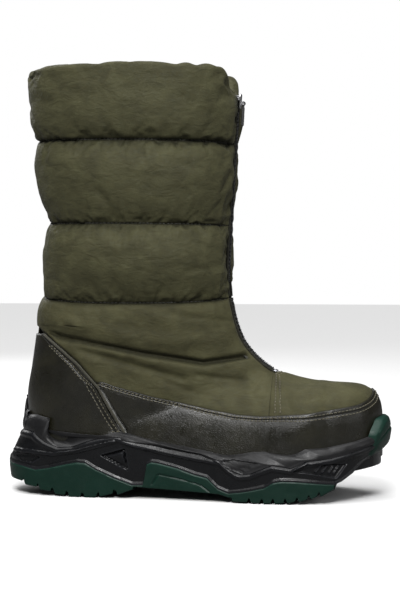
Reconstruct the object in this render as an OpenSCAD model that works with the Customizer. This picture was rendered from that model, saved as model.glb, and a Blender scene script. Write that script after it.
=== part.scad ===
// Quilted winter snow boot, right foot: padded zip-up shaft on a rubber sole.
// +X points to the toe, +Y to the inner (medial) side, +Z up. The origin is on the ground, under the heel.

/* [Shaft] */
// Height of the collar above the ground
boot_height = 326; // [316:1:336]
// How far each quilted tier bulges out between its seams
tier_puff = 4; // [1:0.5:5]
// Depth of the V notch in the collar at the zip
collar_notch = 20; // [10:1:24]
// Height of the collar binding
collar_h = 3.5; // [3:0.5:5]

/* [Layers] */
// Thickness of the nylon shell and of the leather
skin_t = 1; // [0.8:0.1:1.2]
// Depth below the outer surface where the shaft wadding ends
wadding_depth = 8.5; // [7:0.5:9]
// Gap kept between neighbouring layers
layer_gap = 0.4; // [0.3:0.05:0.5]

/* [Zip] */
// Height at which the slider rests when the boot is closed
zip_top = 300; // [296:1:302]
// Distance the slider travels down the shaft
zip_travel = 118; // [100:1:120]
// Distance from one tooth to the next on the same tape
tooth_pitch = 3; // [2.8:0.1:3.4]
// Length of the puller
puller_length = 17; // [14:1:20]

/* [Sole] */
// Depth of the tread grooves
tread_depth = 3; // [2:0.5:4]
// Thickness of the removable footbed
footbed_t = 4; // [3:0.5:5]

/* [Hidden] */
$fn = 48;

// ---------------------------------------------------------------- colours
OLIVE = [0.32, 0.32, 0.24];
OLIVE_DARK = [0.24, 0.24, 0.18];
LEATHER = [0.13, 0.13, 0.1];
BLACK = [0.1, 0.1, 0.11];
GREEN = [0.12, 0.22, 0.18];
FLEECE = [0.3, 0.3, 0.27];
SILVER = [0.75, 0.75, 0.76];

// ---------------------------------------------------------------- the upper as a stack of ribs
// Every rib is a slice through the upper. Seen from the side it runs from a front point to a back or
// bottom point. Columns: front x, front z, back x, back z, lateral half width, medial half width,
// where along the rib it is widest, and how boxy it is before and behind that place.
COLLAR_Z = boot_height;
SEAM_3_Z = 150;
function lift(z) = SEAM_3_Z + (z - SEAM_3_Z) * (COLLAR_Z - SEAM_3_Z) / 176;
RIBS = [
    [108.3, lift(326), -52.5, lift(326), 57, 55, 0.5, 2.3, 2.3],
    [106.8, lift(300), -50.8, lift(300), 55, 53.5, 0.5, 2.3, 2.3],
    [105, lift(269), -48.5, lift(269), 53, 51, 0.5, 2.3, 2.3],
    [103.1, lift(238), -44.3, lift(238), 50, 48.5, 0.5, 2.3, 2.3],
    [101.3, lift(206), -40.3, lift(206), 47.5, 46, 0.5, 2.2, 2.3],
    [99.6, lift(176), -40.2, lift(176), 44.5, 43, 0.5, 2.2, 2.3],
    [101.5, SEAM_3_Z, -46, SEAM_3_Z, 41, 39.5, 0.52, 2.2, 2.3],
    [105.5, 132, -49.5, 122, 39, 37.5, 0.58, 2.2, 2.3],
    [111, 118, -53, 98, 37, 35.5, 0.64, 2.2, 2.3],
    [118, 108.5, -56.5, 75, 36, 34, 0.68, 2.2, 2.3],
    [126, 101, -54.5, 54, 35, 32.8, 0.7, 2.2, 2.3],
    [133, 96, -54.5, 29, 34, 32, 0.7, 2.2, 2.3],
    [140, 92.5, -32, 28.2, 34.2, 32, 0.66, 2.2, 2.3],
    [150, 89.5, 15, 26, 35.5, 32.5, 0.62, 2.2, 2.3],
    [160, 87.2, 65, 23, 38.5, 33.5, 0.62, 2.3, 2.3],
    [167, 86, 112, 21, 43, 36, 0.62, 2.4, 2.3],
    [172, 85.6, 148, 21, 44.5, 38, 0.6, 2.4, 2.3],
    [176, 85.2, 176, 22, 39.5, 36, 0.58, 2.5, 2.3],
    [184, 84.8, 184, 24.4, 33, 33, 0.55, 2.5, 2.3],
    [192, 84.4, 192, 26.2, 22.6, 23.2, 0.52, 2.6, 2.3],
    [200, 83, 200, 27.2, 14.5, 14.5, 0.5, 2.6, 2.3]
];
LATERAL = -1;
MEDIAL = 1;
COLLAR_RIB = 0;
SEAM_1_RIB = 2;
SEAM_2_RIB = 4;
SEAM_3_RIB = 6;
HEEL_RIB = 11;
OPEN_RIB = 13.2;
FAN_RIB = 17;
TOE_RIB = 20;
function spline(list, v) =
    let (
        i = min(floor(v), len(list) - 2),
        f = v - i,
        a = list[max(i - 1, 0)],
        b = list[i],
        c = list[i + 1],
        d = list[min(i + 2, len(list) - 1)]
    )
    0.5 * (2 * b + (c - a) * f + (2 * a - 5 * b + 4 * c - d) * f * f + (3 * b - a - 3 * c + d) * f * f * f);
function unit(a) = a / norm(a);
function mix(a, b, t) = a + (b - a) * t;
function power(a, n) = pow(max(a, 0), n);
// How open a rib is at its bottom end: 0 closes round the heel, 1 stands straight up from the sole.
function openness(v) =
    v < HEEL_RIB ? 0 :
    v > OPEN_RIB ? 1 :
    power(1 - power(1 - (v - HEEL_RIB) / (OPEN_RIB - HEEL_RIB), 2.3), 1 / 2.3);
// Turn of a rib's plane: straight across until the toe, then fanned round it.
function fan_angle(v) = 90 * (TOE_RIB - max(v, FAN_RIB)) / (TOE_RIB - FAN_RIB);
// A point of the upper: rib v, place p from 0 at the front to 1 at the back, side, and depth d below the skin.
function upper_point(v, p, side, d) =
    let (
        r = spline(RIBS, v),
        front = [r[0], r[1]],
        back = [r[2], r[3]],
        along = unit(back - front),
        open = openness(v),
        f = front + d * along,
        b = back - d * (1 - open) * along,
        w = (side < 0 ? r[4] : r[5]) - d,
        angle = 180 * min(p, 1),
        before = p <= 0.5,
        t = before ?
            r[6] * (1 - power(cos(angle), 2 / r[7])) :
            r[6] + (1 - r[6]) * power(-cos(angle), 2 / r[8]),
        out = before ?
            w * power(sin(angle), 2 / r[7]) :
            w * (open + (1 - open) * power(sin(angle), 2 / r[8])),
        base = f + t * (b - f),
        turn = fan_angle(v)
    )
    [base[0] + out * cos(turn), side * out * sin(turn), base[1]];
// Place on rib v at height z.
function place_at_height(v, z) =
    let (
        r = spline(RIBS, v),
        t = min(max((r[1] - z) / (r[1] - r[3]), 0), 1)
    )
    t < r[6] ?
        acos(power((r[6] - t) / r[6], r[7] / 2)) / 180 :
        0.5 + asin(power((t - r[6]) / (1 - r[6]), r[8] / 2)) / 180;
// Place on rib v at a distance y from the middle, at the front and at the back.
function place_in_front(v, y, side, d) =
    let (r = spline(RIBS, v))
    asin(power(y / ((side < 0 ? r[4] : r[5]) - d), r[7] / 2)) / 180;
function place_behind(v, y, side, d) =
    let (r = spline(RIBS, v))
    1 - asin(power(y / ((side < 0 ? r[4] : r[5]) - d), r[8] / 2)) / 180;

// ---------------------------------------------------------------- sheets
// A grid of points on one side: v_of(a, b) gives the rib, p_of(v, b) the place, d_of(v, p) the depth.
function side_grid(side, nk, nj, v_of, p_of, d_of) =
    let (g = [
        for (k = [0:nk]) [
            for (j = [0:nj])
                let (
                    v = v_of(k / nk, j / nj),
                    p = p_of(v, j / nj)
                )
                upper_point(v, p, side, d_of(v, p))
        ]
    ])
    side < 0 ? g : [for (k = [nk:-1:0]) g[k]];
// The same round the toe, from the lateral side to the medial side.
function wrap_grid(nk, nj, v_of, p_of, d_of) =
    let (
        a = side_grid(LATERAL, nk, nj, v_of, p_of, d_of),
        b = side_grid(MEDIAL, nk, nj, v_of, p_of, d_of)
    )
    concat(a, [for (k = [1:nk]) b[k]]);
// A strip over the middle line, from y = -reach to y = reach, in front or behind.
function middle_grid(nk, nj, v_of, reach, depth, behind) = [
    for (k = [0:nk]) [
        for (j = [0:nj])
            let (
                v = v_of(k / nk),
                y = reach * (1 - 2 * j / nj) * (behind ? -1 : 1),
                side = y < 0 ? LATERAL : MEDIAL,
                p = behind ? place_behind(v, abs(y), side, depth) : place_in_front(v, abs(y), side, depth)
            )
            upper_point(v, p, side, depth)
    ]
];
// A closed sheet between an outer and an inner grid. A welded sheet has its first edge folded shut.
module sheet(outer, inner, welded = false) {
    nk = len(outer);
    nj = len(outer[0]);
    function at(k, j) = welded && j == 0 && k > (nk - 1) / 2 ? (nk - 1 - k) * nj : k * nj + j;
    function under(k, j) = at(k, j) + nk * nj;
    points = concat(
        [for (k = [0:nk - 1]) for (j = [0:nj - 1]) outer[k][j]],
        [for (k = [0:nk - 1]) for (j = [0:nj - 1]) inner[k][j]]
    );
    skins = [
        for (k = [0:nk - 2]) for (j = [0:nj - 2])
            each [
                [at(k, j), at(k + 1, j), at(k, j + 1)],
                [at(k + 1, j), at(k + 1, j + 1), at(k, j + 1)],
                [under(k, j), under(k, j + 1), under(k + 1, j)],
                [under(k + 1, j), under(k, j + 1), under(k + 1, j + 1)]
            ]
    ];
    last_edge = [
        for (k = [0:nk - 2])
            each [
                [at(k, nj - 1), at(k + 1, nj - 1), under(k, nj - 1)],
                [at(k + 1, nj - 1), under(k + 1, nj - 1), under(k, nj - 1)]
            ]
    ];
    first_edge = [
        for (k = [0:nk - 2])
            each [
                [at(k + 1, 0), at(k, 0), under(k, 0)],
                [at(k + 1, 0), under(k, 0), under(k + 1, 0)]
            ]
    ];
    ends = [
        for (j = [0:nj - 2])
            each [
                [at(0, j), at(0, j + 1), under(0, j)],
                [at(0, j + 1), under(0, j + 1), under(0, j)],
                [at(nk - 1, j + 1), at(nk - 1, j), under(nk - 1, j)],
                [at(nk - 1, j + 1), under(nk - 1, j), under(nk - 1, j + 1)]
            ]
    ];
    polyhedron(points, concat(skins, last_edge, welded ? [] : first_edge, ends));
}
module side_sheet(side, nk, nj, v_of, p_of, d_out, d_in) {
    sheet(side_grid(side, nk, nj, v_of, p_of, d_out), side_grid(side, nk, nj, v_of, p_of, d_in));
}
module wrap_sheet(nk, nj, v_of, p_of, d_out, d_in, welded = false) {
    sheet(wrap_grid(nk, nj, v_of, p_of, d_out), wrap_grid(nk, nj, v_of, p_of, d_in), welded);
}
module middle_sheet(nk, nj, v0, v1, reach, d_out, d_in, behind = false) {
    v_of = function(a) v0 + (v1 - v0) * a;
    sheet(
        middle_grid(nk, nj, v_of, reach, d_out, behind),
        middle_grid(nk, nj, v_of, reach, d_in, behind)
    );
}
function depth(d) = function(v, p) d;

// ---------------------------------------------------------------- where panels meet
ZIP_HALF = 7;
TAPE_HALF = 12.2;
TAPE_INNER = 1.7;
BACK_HALF = 8.2;
STAY_HALF = 4.2;
SEAM_GAP = 0.04;
VAMP_RIB = 11.7;
TRIM_RIB = 12.9;
// Side-view lines of the rand's top edge and of the counter's piped edge.
RAND_LINE = [[-40, 104], [6, 88], [18, 83.4], [47, 75.3], [90, 66.4], [111, 63], [128, 62.3], [163, 64.7],
    [176, 66.7], [184, 70.5], [192, 76], [202, 82]];
PIPED_LINE = [[-53, 131], [-41, 124], [-22, 110], [-10, 100], [6, 82], [13, 69], [20, 57], [25, 48], [34, 24]];
function cross2(a, b) = a[0] * b[1] - a[1] * b[0];
// Place on rib v where it crosses a side-view line.
function place_on_line(v, line) =
    let (
        r = spline(RIBS, v),
        front = [r[0], r[1]],
        run = [r[2], r[3]] - front,
        hits = [
            for (i = [0:len(line) - 2])
                let (
                    leg = line[i + 1] - line[i],
                    den = cross2(run, leg),
                    t = cross2(line[i] - front, leg) / den,
                    s = cross2(line[i] - front, run) / den
                )
                if (s >= 0 && s <= 1) t
        ],
        t = len(hits) > 0 ? min(max(hits[0], 0), 1) : 1
    )
    place_at_height(v, mix(r[1], r[3], t));
function rand_place(v) = place_on_line(v, RAND_LINE);
function piped_place(v) = v > TRIM_RIB ? 1 : place_on_line(v, PIPED_LINE);
// Puff of the quilted tiers, fading out at the zip and at the back seam.
function puff(v, p) =
    v >= SEAM_3_RIB ? 0 :
    let (
        f = v / 2 - floor(v / 2),
        edge = min(1, min(p, 1 - p) * 9)
    )
    tier_puff * sqrt(4 * f * (1 - f)) * sqrt(edge);

// ---------------------------------------------------------------- shaft panels
// Rib of the shaft's top edge at place p: flat round the back, falling into the notch at the zip.
RIB_STEP = (COLLAR_Z - lift(300));
NOTCH_PLACE = 0.25;
function top_rib(p) = (collar_h + collar_notch * pow(max(0, 1 - p / NOTCH_PLACE), 2)) / RIB_STEP;
function top_place(side, front, b) =
    mix(place_in_front(0.7, front, side, 0), place_behind(0.2, BACK_HALF, side, 0), b);
module shaft_sheet(side, nk, nj, v0, v1, d_out, d_in, front) {
    v_of = function(a, b) mix(max(v0, top_rib(top_place(side, front, b)) + SEAM_GAP / 2), v1, a);
    p_of = function(v, b) mix(place_in_front(v, front, side, 0), place_behind(v, BACK_HALF, side, 0), b);
    side_sheet(side, nk, nj, v_of, p_of, d_out, d_in);
}
module tier(side, v0, v1) {
    skin = function(v, p) -puff(v, p);
    under_skin = function(v, p) skin_t - puff(v, p);
    shaft_sheet(side, 6, 14, v0 + SEAM_GAP, v1 - SEAM_GAP, skin, under_skin, ZIP_HALF);
}
module shaft_wadding(side) {
    top = function(v, p) skin_t + 4 * layer_gap - puff(v, p);
    shaft_sheet(side, 18, 12, COLLAR_RIB, SEAM_3_RIB - SEAM_GAP, top, depth(wadding_depth), TAPE_HALF + 0.5);
}
LINING_IN = wadding_depth + 2 * layer_gap;
module shaft_lining(side) {
    shaft_sheet(side, 12, 12, COLLAR_RIB, SEAM_3_RIB - SEAM_GAP,
        depth(LINING_IN), depth(LINING_IN + skin_t), TAPE_HALF + 0.5);
}
// Rounded binding that caps the shell, the wadding and the lining.
module collar(side) {
    steps = 16;
    lip = LINING_IN + skin_t;
    profile = [[0, 0.3], [0, 1.6], [1.2, 3], [3, 3.5], [lip - 3, 3.5], [lip - 1.2, 3], [lip, 1.6], [lip, 0.3]];
    rings = [
        for (j = [0:steps])
            let (
                p = top_place(side, ZIP_HALF, j / steps),
                v = max(top_rib(p) - 0.004, 0.13)
            )
            [
                for (q = profile)
                    upper_point(v, p, side, q[0]) + [0, 0, q[1] * collar_h / 3.5 - 0.1]
            ]
    ];
    order = side < 0 ? rings : [for (j = [steps:-1:0]) rings[j]];
    n = len(profile);
    function at(j, i) = j * n + i;
    walls = [
        for (j = [0:steps - 1]) for (i = [0:n - 1])
            let (i2 = (i + 1) % n)
            each [[at(j, i), at(j, i2), at(j + 1, i)], [at(j + 1, i), at(j, i2), at(j + 1, i2)]]
    ];
    caps = [
        for (i = [1:n - 2])
            each [[at(0, 0), at(0, i + 1), at(0, i)], [at(steps, 0), at(steps, i), at(steps, i + 1)]]
    ];
    polyhedron([for (ring = order) each ring], concat(walls, caps));
}

// ---------------------------------------------------------------- zip
// The upper zip runs straight down the front of the shaft.
ZIP_LEAN = atan2(RIBS[0][0] - RIBS[5][0], RIBS[0][1] - RIBS[5][1]);
ZIP_X = RIBS[5][0] + (zip_top - RIBS[5][1]) * tan(ZIP_LEAN);
TAPE_OUT = skin_t + layer_gap;
TAPE_T = 0.7;
TOOTH_BASE = 0.4;
TOOTH_T = 2;
TEETH_TOP = -8;
TEETH_BOTTOM = -zip_travel - 9;
TEETH_END_RIB = 5.18;
// Places its children on the zip line: x out of the boot, z up along the zip, origin at the closed slider.
module on_zip() {
    translate([ZIP_X - TAPE_OUT, 0, zip_top])
        rotate([0, ZIP_LEAN, 0])
            children();
}
module zip_tape(side) {
    v_of = function(a, b) mix(0.86, SEAM_3_RIB - SEAM_GAP, a);
    p_of = function(v, b)
        place_in_front(v, mix(TAPE_INNER, TAPE_HALF, b), side, TAPE_OUT);
    side_sheet(side, 14, 3, v_of, p_of, depth(TAPE_OUT), depth(TAPE_OUT + TAPE_T));
}
module zip_teeth(side) {
    shift = side < 0 ? 0 : tooth_pitch / 2;
    count = floor((TEETH_TOP - TEETH_BOTTOM) / tooth_pitch);
    tooth_h = tooth_pitch * 0.4;
    on_zip() {
        translate([TOOTH_BASE, side < 0 ? -2.9 : 1.7, TEETH_BOTTOM])
            cube([0.9, 1.2, TEETH_TOP - TEETH_BOTTOM]);
        for (i = [0:count - 1])
            translate([TOOTH_BASE, side < 0 ? -2.3 : -0.6, TEETH_BOTTOM + 0.2 + shift + i * tooth_pitch])
                cube([TOOTH_T, 2.9, tooth_h]);
    }
    // Below them the row follows the bend of the instep.
    v_of = function(a, b) mix(TEETH_END_RIB, SEAM_3_RIB - SEAM_GAP, a);
    p_of = function(v, b) place_in_front(v, mix(0.15, 2.6, b), side, 0);
    side_sheet(side, 6, 2, v_of, p_of, depth(-0.8), depth(TAPE_OUT - 0.3));
}
PIN_OUT = 5.6;
PIN_Z = -1.5;
module zip_slider() {
    color(SILVER)
        on_zip() {
            translate([TOOTH_T + 0.6, -4.4, -5.5])
                cube([1, 8.8, 11]);
            for (s = [-1, 1])
                translate([TOOTH_T + 1.2, s * 1.9 - 0.6, PIN_Z - 1.5])
                    cube([PIN_OUT - TOOTH_T + 0.2, 1.2, 3]);
            translate([-TAPE_T - 1.4, -4.4, -5.5])
                cube([1, 8.8, 11]);
            translate([-TAPE_T - 0.6, -0.9, 1])
                cube([TOOTH_T + TAPE_T + 1.4, 1.8, 3.6]);
            translate([PIN_OUT, 2.4, PIN_Z])
                rotate([90, 0, 0])
                    cylinder(h = 4.8, r = 0.7);
        }
}
module zip_puller() {
    color(BLACK)
        on_zip()
            difference() {
                union() {
                    translate([PIN_OUT, 1.1, PIN_Z])
                        rotate([90, 0, 0])
                            cylinder(h = 2.2, r = 1.5);
                    translate([PIN_OUT - 0.6, -1.1, PIN_Z - 3])
                        cube([1.2, 2.2, 2.6]);
                    translate([PIN_OUT - 0.8, -2, PIN_Z - puller_length])
                        cube([1.6, 4, puller_length - 2.4]);
                }
                translate([PIN_OUT, 2, PIN_Z])
                    rotate([90, 0, 0])
                        cylinder(h = 4, r = 0.8);
            }
}
module zip_facing() {
    v_of = function(a) mix(1.1, SEAM_3_RIB - SEAM_GAP, a);
    facing_d = LINING_IN + skin_t + 2 * layer_gap;
    color(OLIVE_DARK)
        sheet(
            middle_grid(12, 4, v_of, TAPE_HALF + 3, facing_d, false),
            middle_grid(12, 4, v_of, TAPE_HALF + 3, facing_d + skin_t, false)
        );
}
ZIP_END_RIB = 11.4;
module lower_tape(side) {
    v_of = function(a, b) mix(SEAM_3_RIB + SEAM_GAP, ZIP_END_RIB, a);
    p_of = function(v, b) place_in_front(v, mix(TAPE_INNER, TAPE_HALF, b), side, TAPE_OUT);
    color(OLIVE_DARK)
        side_sheet(side, 10, 3, v_of, p_of, depth(TAPE_OUT), depth(TAPE_OUT + TAPE_T));
}
module lower_zip_chain() {
    color(BLACK)
        middle_sheet(14, 4, SEAM_3_RIB + SEAM_GAP, ZIP_END_RIB - 0.15, 2.6, -1, TAPE_OUT - 0.2);
}
module zip_end_stop() {
    color(SILVER)
        middle_sheet(2, 4, ZIP_END_RIB - 0.12, ZIP_END_RIB + 0.2, 3, -1, TAPE_OUT - 0.2);
}

// ---------------------------------------------------------------- back of the shaft
CORD_X = -37;
CORD_LEAN = 0.03;
CORD_R = 1.25;
module on_cord() {
    translate([CORD_X, 0, SEAM_3_Z])
        rotate([0, -atan(CORD_LEAN), 0])
            children();
}
module back_stay() {
    color(OLIVE)
        difference() {
            middle_sheet(14, 4, 0.14, SEAM_3_RIB - SEAM_GAP, STAY_HALF, 0, 12, true);
            on_cord()
                translate([0, 0, -10])
                    cylinder(h = 220, r = CORD_R + 0.1);
        }
}
module back_seam_cord() {
    color(OLIVE_DARK)
        on_cord()
            translate([0, 0, 3])
                cylinder(h = COLLAR_Z - SEAM_3_Z - 8, r = CORD_R);
}

// ---------------------------------------------------------------- foot panels
function along_foot(v0, v1) = function(a, b) mix(v0, v1, a);
// The leather's hem, tucked into the sole.
RIM_Z = 44;
RIM_RIB = 10.4;
HEM_Z = 36;
function hem_place(v) = place_at_height(v, HEM_Z);
LEATHER_OUT = -1.5;
LEATHER_IN = -0.5;
STIFF_OUT = skin_t + 2.5 * layer_gap;
STIFF_T = 0.8;
PAD_OUT = STIFF_OUT + STIFF_T + 2 * layer_gap;
PAD_IN = 6.2;
SOCK_OUT = PAD_IN + layer_gap;
SOCK_IN = SOCK_OUT + skin_t;
module quarter(side) {
    v_of = along_foot(SEAM_3_RIB + SEAM_GAP, VAMP_RIB);
    p_of = function(v, b)
        mix(
            place_in_front(v, ZIP_HALF, side, 0),
            min(rand_place(v) + 0.02, piped_place(v) + 0.02, place_behind(v, 0.4, side, 0)),
            b
        );
    color(OLIVE)
        side_sheet(side, 14, 18, v_of, p_of, depth(0), depth(skin_t));
}
module vamp() {
    p_of = function(v, b) mix(0, rand_place(v) + 0.02, b);
    color(OLIVE)
        wrap_sheet(20, 9, along_foot(VAMP_RIB + 0.06, TOE_RIB), p_of, depth(0), depth(skin_t), true);
}
module rand() {
    p_of = function(v, b) mix(rand_place(v), v > TRIM_RIB ? hem_place(v) : piped_place(v) - 0.012, b);
    color(LEATHER)
        wrap_sheet(26, 8, along_foot(9.05, TOE_RIB), p_of, depth(LEATHER_OUT), depth(LEATHER_IN));
}
module heel_counter() {
    color(LEATHER)
        for (side = [LATERAL, MEDIAL])
            heel_side(side);
}
// One half of the heel counter; the halves meet in a stitched back seam.
module heel_side(side) {
    v_of = along_foot(7.02, 12.7);
    p_of = function(v, b)
        mix(piped_place(v) + 0.012, v < RIM_RIB ? place_behind(v, 0.2, side, 0) : hem_place(v), b);
    side_sheet(side, 16, 9, v_of, p_of, depth(LEATHER_OUT), depth(LEATHER_IN));
}
// Thin raised piping along the front edge of the counter.
module counter_piping() {
    color(OLIVE_DARK)
        for (side = [LATERAL, MEDIAL]) {
            v_of = along_foot(7.05, 12);
            p_of = function(v, b) piped_place(v) + mix(-0.009, 0.009, b);
            side_sheet(side, 18, 2, v_of, p_of, depth(LEATHER_OUT - 1), depth(LEATHER_OUT - 0.15));
        }
}
module heel_stiffener() {
    color(BLACK)
        for (side = [LATERAL, MEDIAL]) {
            v_of = along_foot(7.3, 11.6);
            last = function(v) v < RIM_RIB ? place_behind(v, 0.3, side, STIFF_OUT) : max(hem_place(v), 0.7);
            p_of = function(v, b) mix(0.66, last(v), b);
            side_sheet(side, 12, 8, v_of, p_of, depth(STIFF_OUT), depth(STIFF_OUT + STIFF_T));
        }
}
module toe_puff() {
    color(BLACK)
        wrap_sheet(7, 10, along_foot(16.5, TOE_RIB), function(v, b) mix(0, 0.99, b),
            depth(STIFF_OUT), depth(STIFF_OUT + STIFF_T), true);
}
module foot_wadding() {
    p_of = function(v, b) mix(0, 0.99, b);
    color(FLEECE)
        wrap_sheet(16, 10, along_foot(TOE_RIB - 8, TOE_RIB), p_of, depth(PAD_OUT), depth(PAD_IN), true);
}
module foot_lining() {
    p_of = function(v, b) mix(0, 0.99, b);
    color(FLEECE)
        wrap_sheet(16, 10, along_foot(TOE_RIB - 8, TOE_RIB), p_of, depth(SOCK_OUT), depth(SOCK_IN), true);
}
// The ankle layers stop above the footbed where the ribs close under the heel.
HEEL_FLOOR_Z = 37;
function heel_floor_place(v) = v > 10.2 ? place_at_height(v, HEEL_FLOOR_Z) : 0.99;
module ankle_layer(side, d_out, d_in) {
    v_of = along_foot(SEAM_3_RIB + SEAM_GAP, ZIP_END_RIB + 0.55);
    p_of = function(v, b)
        mix(place_in_front(v, 4, side, d_out), min(heel_floor_place(v), place_behind(v, 0.4, side, d_out)), b);
    color(FLEECE)
        side_sheet(side, 12, 12, v_of, p_of, depth(d_out), depth(d_in));
}
module gusset() {
    color(OLIVE_DARK)
        middle_sheet(12, 8, SEAM_3_RIB + SEAM_GAP, ZIP_END_RIB + 0.55, 16,
            SOCK_IN + 3 * layer_gap, SOCK_IN + skin_t + 3 * layer_gap);
}

// ---------------------------------------------------------------- sole
SOLE_PLAN = [
    [-72, 0], [-69, -16], [-59, -28.5], [-43, -35.8], [-15, -40], [15, -41.8], [50, -43.5], [85, -47.5],
    [115, -51.8], [140, -53.2], [163, -51.5], [183, -46.5], [200, -38.5], [212, -27.5], [219.5, -13], [221.5, 3],
    [219, 19], [212, 30.5], [200, 39.5], [183, 45], [163, 47.5], [140, 46.8], [115, 43], [85, 38.5],
    [50, 36], [15, 37], [-15, 38], [-43, 34.8], [-59, 27.5], [-69, 15.5]
];
function closed_spline(pts, steps) =
    let (n = len(pts))
    [
        for (i = [0:n - 1]) for (s = [0:steps - 1])
            spline([pts[(i + n - 1) % n], pts[i], pts[(i + 1) % n], pts[(i + 2) % n]], 1 + s / steps)
    ];
SOLE_OUTLINE = closed_spline(SOLE_PLAN, 2);
// Side-view lines of the sole, heel to toe.
BED_LINE = [[-80, 28.6], [-30, 27.6], [15, 25.4], [65, 22.4], [112, 20.4], [148, 20.4], [180, 21.6],
    [200, 23.8], [212, 25.6], [240, 29]];
GROOVE_LINE = [[-63, 48], [-50, 46], [-38, 40.5], [-26, 36.8], [-14, 37.8], [-3, 41.7], [8, 44.7], [19, 46],
    [27, 45.5], [45, 41.3], [75, 36], [93, 33], [104, 26.4], [115, 21.4], [133, 25], [151, 26.4],
    [162, 31], [183, 33.6], [205, 39.4], [213, 42], [240, 43]];
TRIM_LINE = [[-70, 62], [-53, 58.6], [-42, 53], [-24, 46], [-3, 43.6], [8, 46], [19, 48.6], [27, 48.2], [45, 43.6],
    [75, 38.6], [98, 34], [115, 35], [133, 36.8], [155, 35.5], [163, 39], [188, 41.8], [207, 46],
    [213, 56], [217, 64], [219, 66], [240, 66]];
PARTING_LINE = [[-80, 28], [-70.5, 25], [-64, 22], [-44, 19.4], [-10, 26.3], [-4, 25.8], [5, 21], [34, 10],
    [40, 10], [43, 26.5], [47, 27.6], [80, 19.5], [99, 10], [106, 6.5], [122, 9], [139, 15.6], [154, 16.7],
    [178, 15], [186, 15]];
LUG_GAP = 0.15;
module side_prism(points) {
    translate([0, 80, 0])
        rotate([90, 0, 0])
            linear_extrude(160)
                polygon(points);
}
function raised(line, dz) = [for (q = line) q + [0, dz]];
function reversed(line) = [for (i = [len(line) - 1:-1:0]) line[i]];
// Plan of the upper at depth d: its outline at rim height, or along its bottom edge.
function bed_plan(d, at_rim = false) =
    let (
        first = at_rim ? RIM_RIB : HEEL_RIB,
        count = at_rim ? 40 : 30,
        crowding = at_rim ? 1.8 : 1,
        half = function(side) [
            for (i = [0:count])
                let (
                    v = first + (TOE_RIB - first) * pow(i / count, crowding),
                    p = at_rim && i > 0 ? place_at_height(v, RIM_Z) : 1,
                    q = upper_point(v, p, side, d)
                )
                [q[0], q[1]]
        ],
        lateral = half(LATERAL),
        medial = half(MEDIAL)
    )
    concat(
        [for (i = [1:count]) lateral[i]],
        [for (i = [count - 1:-1:1]) medial[i]],
        [[at_rim ? upper_point(RIM_RIB + 0.2, 1, LATERAL, d)[0] : upper_point(HEEL_RIB, 1, LATERAL, 0)[0] + d, 0]]
    );
RIM_CLEAR = -2.9;
module bed_hollow() {
    intersection() {
        linear_extrude(120)
            polygon(bed_plan(RIM_CLEAR, true));
        side_prism(concat(BED_LINE, [[240, 120], [-80, 120]]));
    }
}
module sole_blank(lower, upper) {
    intersection() {
        linear_extrude(120)
            polygon(SOLE_OUTLINE);
        side_prism(concat(lower, reversed(upper)));
    }
}
// Block of foam that stands inside the cupped outsole, above height z.
CORE_Z = 11.5;
module core(inset, z) {
    intersection() {
        translate([0, 0, z])
            linear_extrude(20)
                polygon(bed_plan(inset));
        side_prism([[-50, 0], [176, 0], [176, 21], [148, 20.2], [112, 20.2], [65, 22.2], [15, 25.2], [-50, 27.4]]);
    }
}
HEEL_BACK = [[-72, 27.7], [-66.4, 40]];
TOE_UNDER = [[186, 15.2], [192, 17], [202, 22.3], [212, 30.5], [218, 37], [221, 44], [222, 52]];
module midsole() {
    color(BLACK)
        difference() {
            union() {
                sole_blank(
                    concat(raised([for (q = PARTING_LINE) if (q[0] > -71) q], LUG_GAP),
                        TOE_UNDER),
                    concat(HEEL_BACK, [[-62, 47]], [for (q = GROOVE_LINE) if (q[0] > -52 && q[0] < 214) q])
                );
                core(3, CORE_Z + LUG_GAP);
            }
            bed_hollow();
            shank_pocket(0.15);
            toe_bumper_blank(0.4);
        }
}
// Raised foxing strip that wraps the upper just above the midsole.
module sole_trim() {
    color(BLACK)
        difference() {
            sole_blank(
                raised([for (q = GROOVE_LINE) if (q[0] > -65 && q[0] < 214) q], 0.25),
                concat([[-62, 49.5], [-60, 53], [-58.8, 57.5]],
                    [for (q = TRIM_LINE) if (q[0] > -54) q])
            );
            bed_hollow();
            toe_bumper_blank(0.4);
        }
}
// Green cap in front of the toe.
// Which way each corner of its side view moves when it is cut out with some room round it.
function bumper_spread(q) =
    q[1] > 60 ? [0, 2.5] :
    [q[0] < 214.5 ? -1 : 1, q[1] > 50 ? 1 : q[1] < 38 ? -1 : 0];
module toe_bumper_blank(extra) {
    bumper_side = [[212, 30], [217.6, 34], [221.4, 40], [223, 52], [219, 61], [214, 52], [212.4, 46]];
    intersection() {
        translate([0, 0, -extra])
            linear_extrude(120)
                polygon([[209, -24 - extra], [230, -24 - extra], [230, 30 + extra], [209, 30 + extra]]);
        side_prism([for (q = bumper_side) q + extra * bumper_spread(q)]);
    }
}
module toe_bumper() {
    color(GREEN)
        difference() {
            intersection() {
                toe_bumper_blank(0);
                linear_extrude(120)
                    polygon(SOLE_OUTLINE);
            }
            bed_hollow();
        }
}
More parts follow.
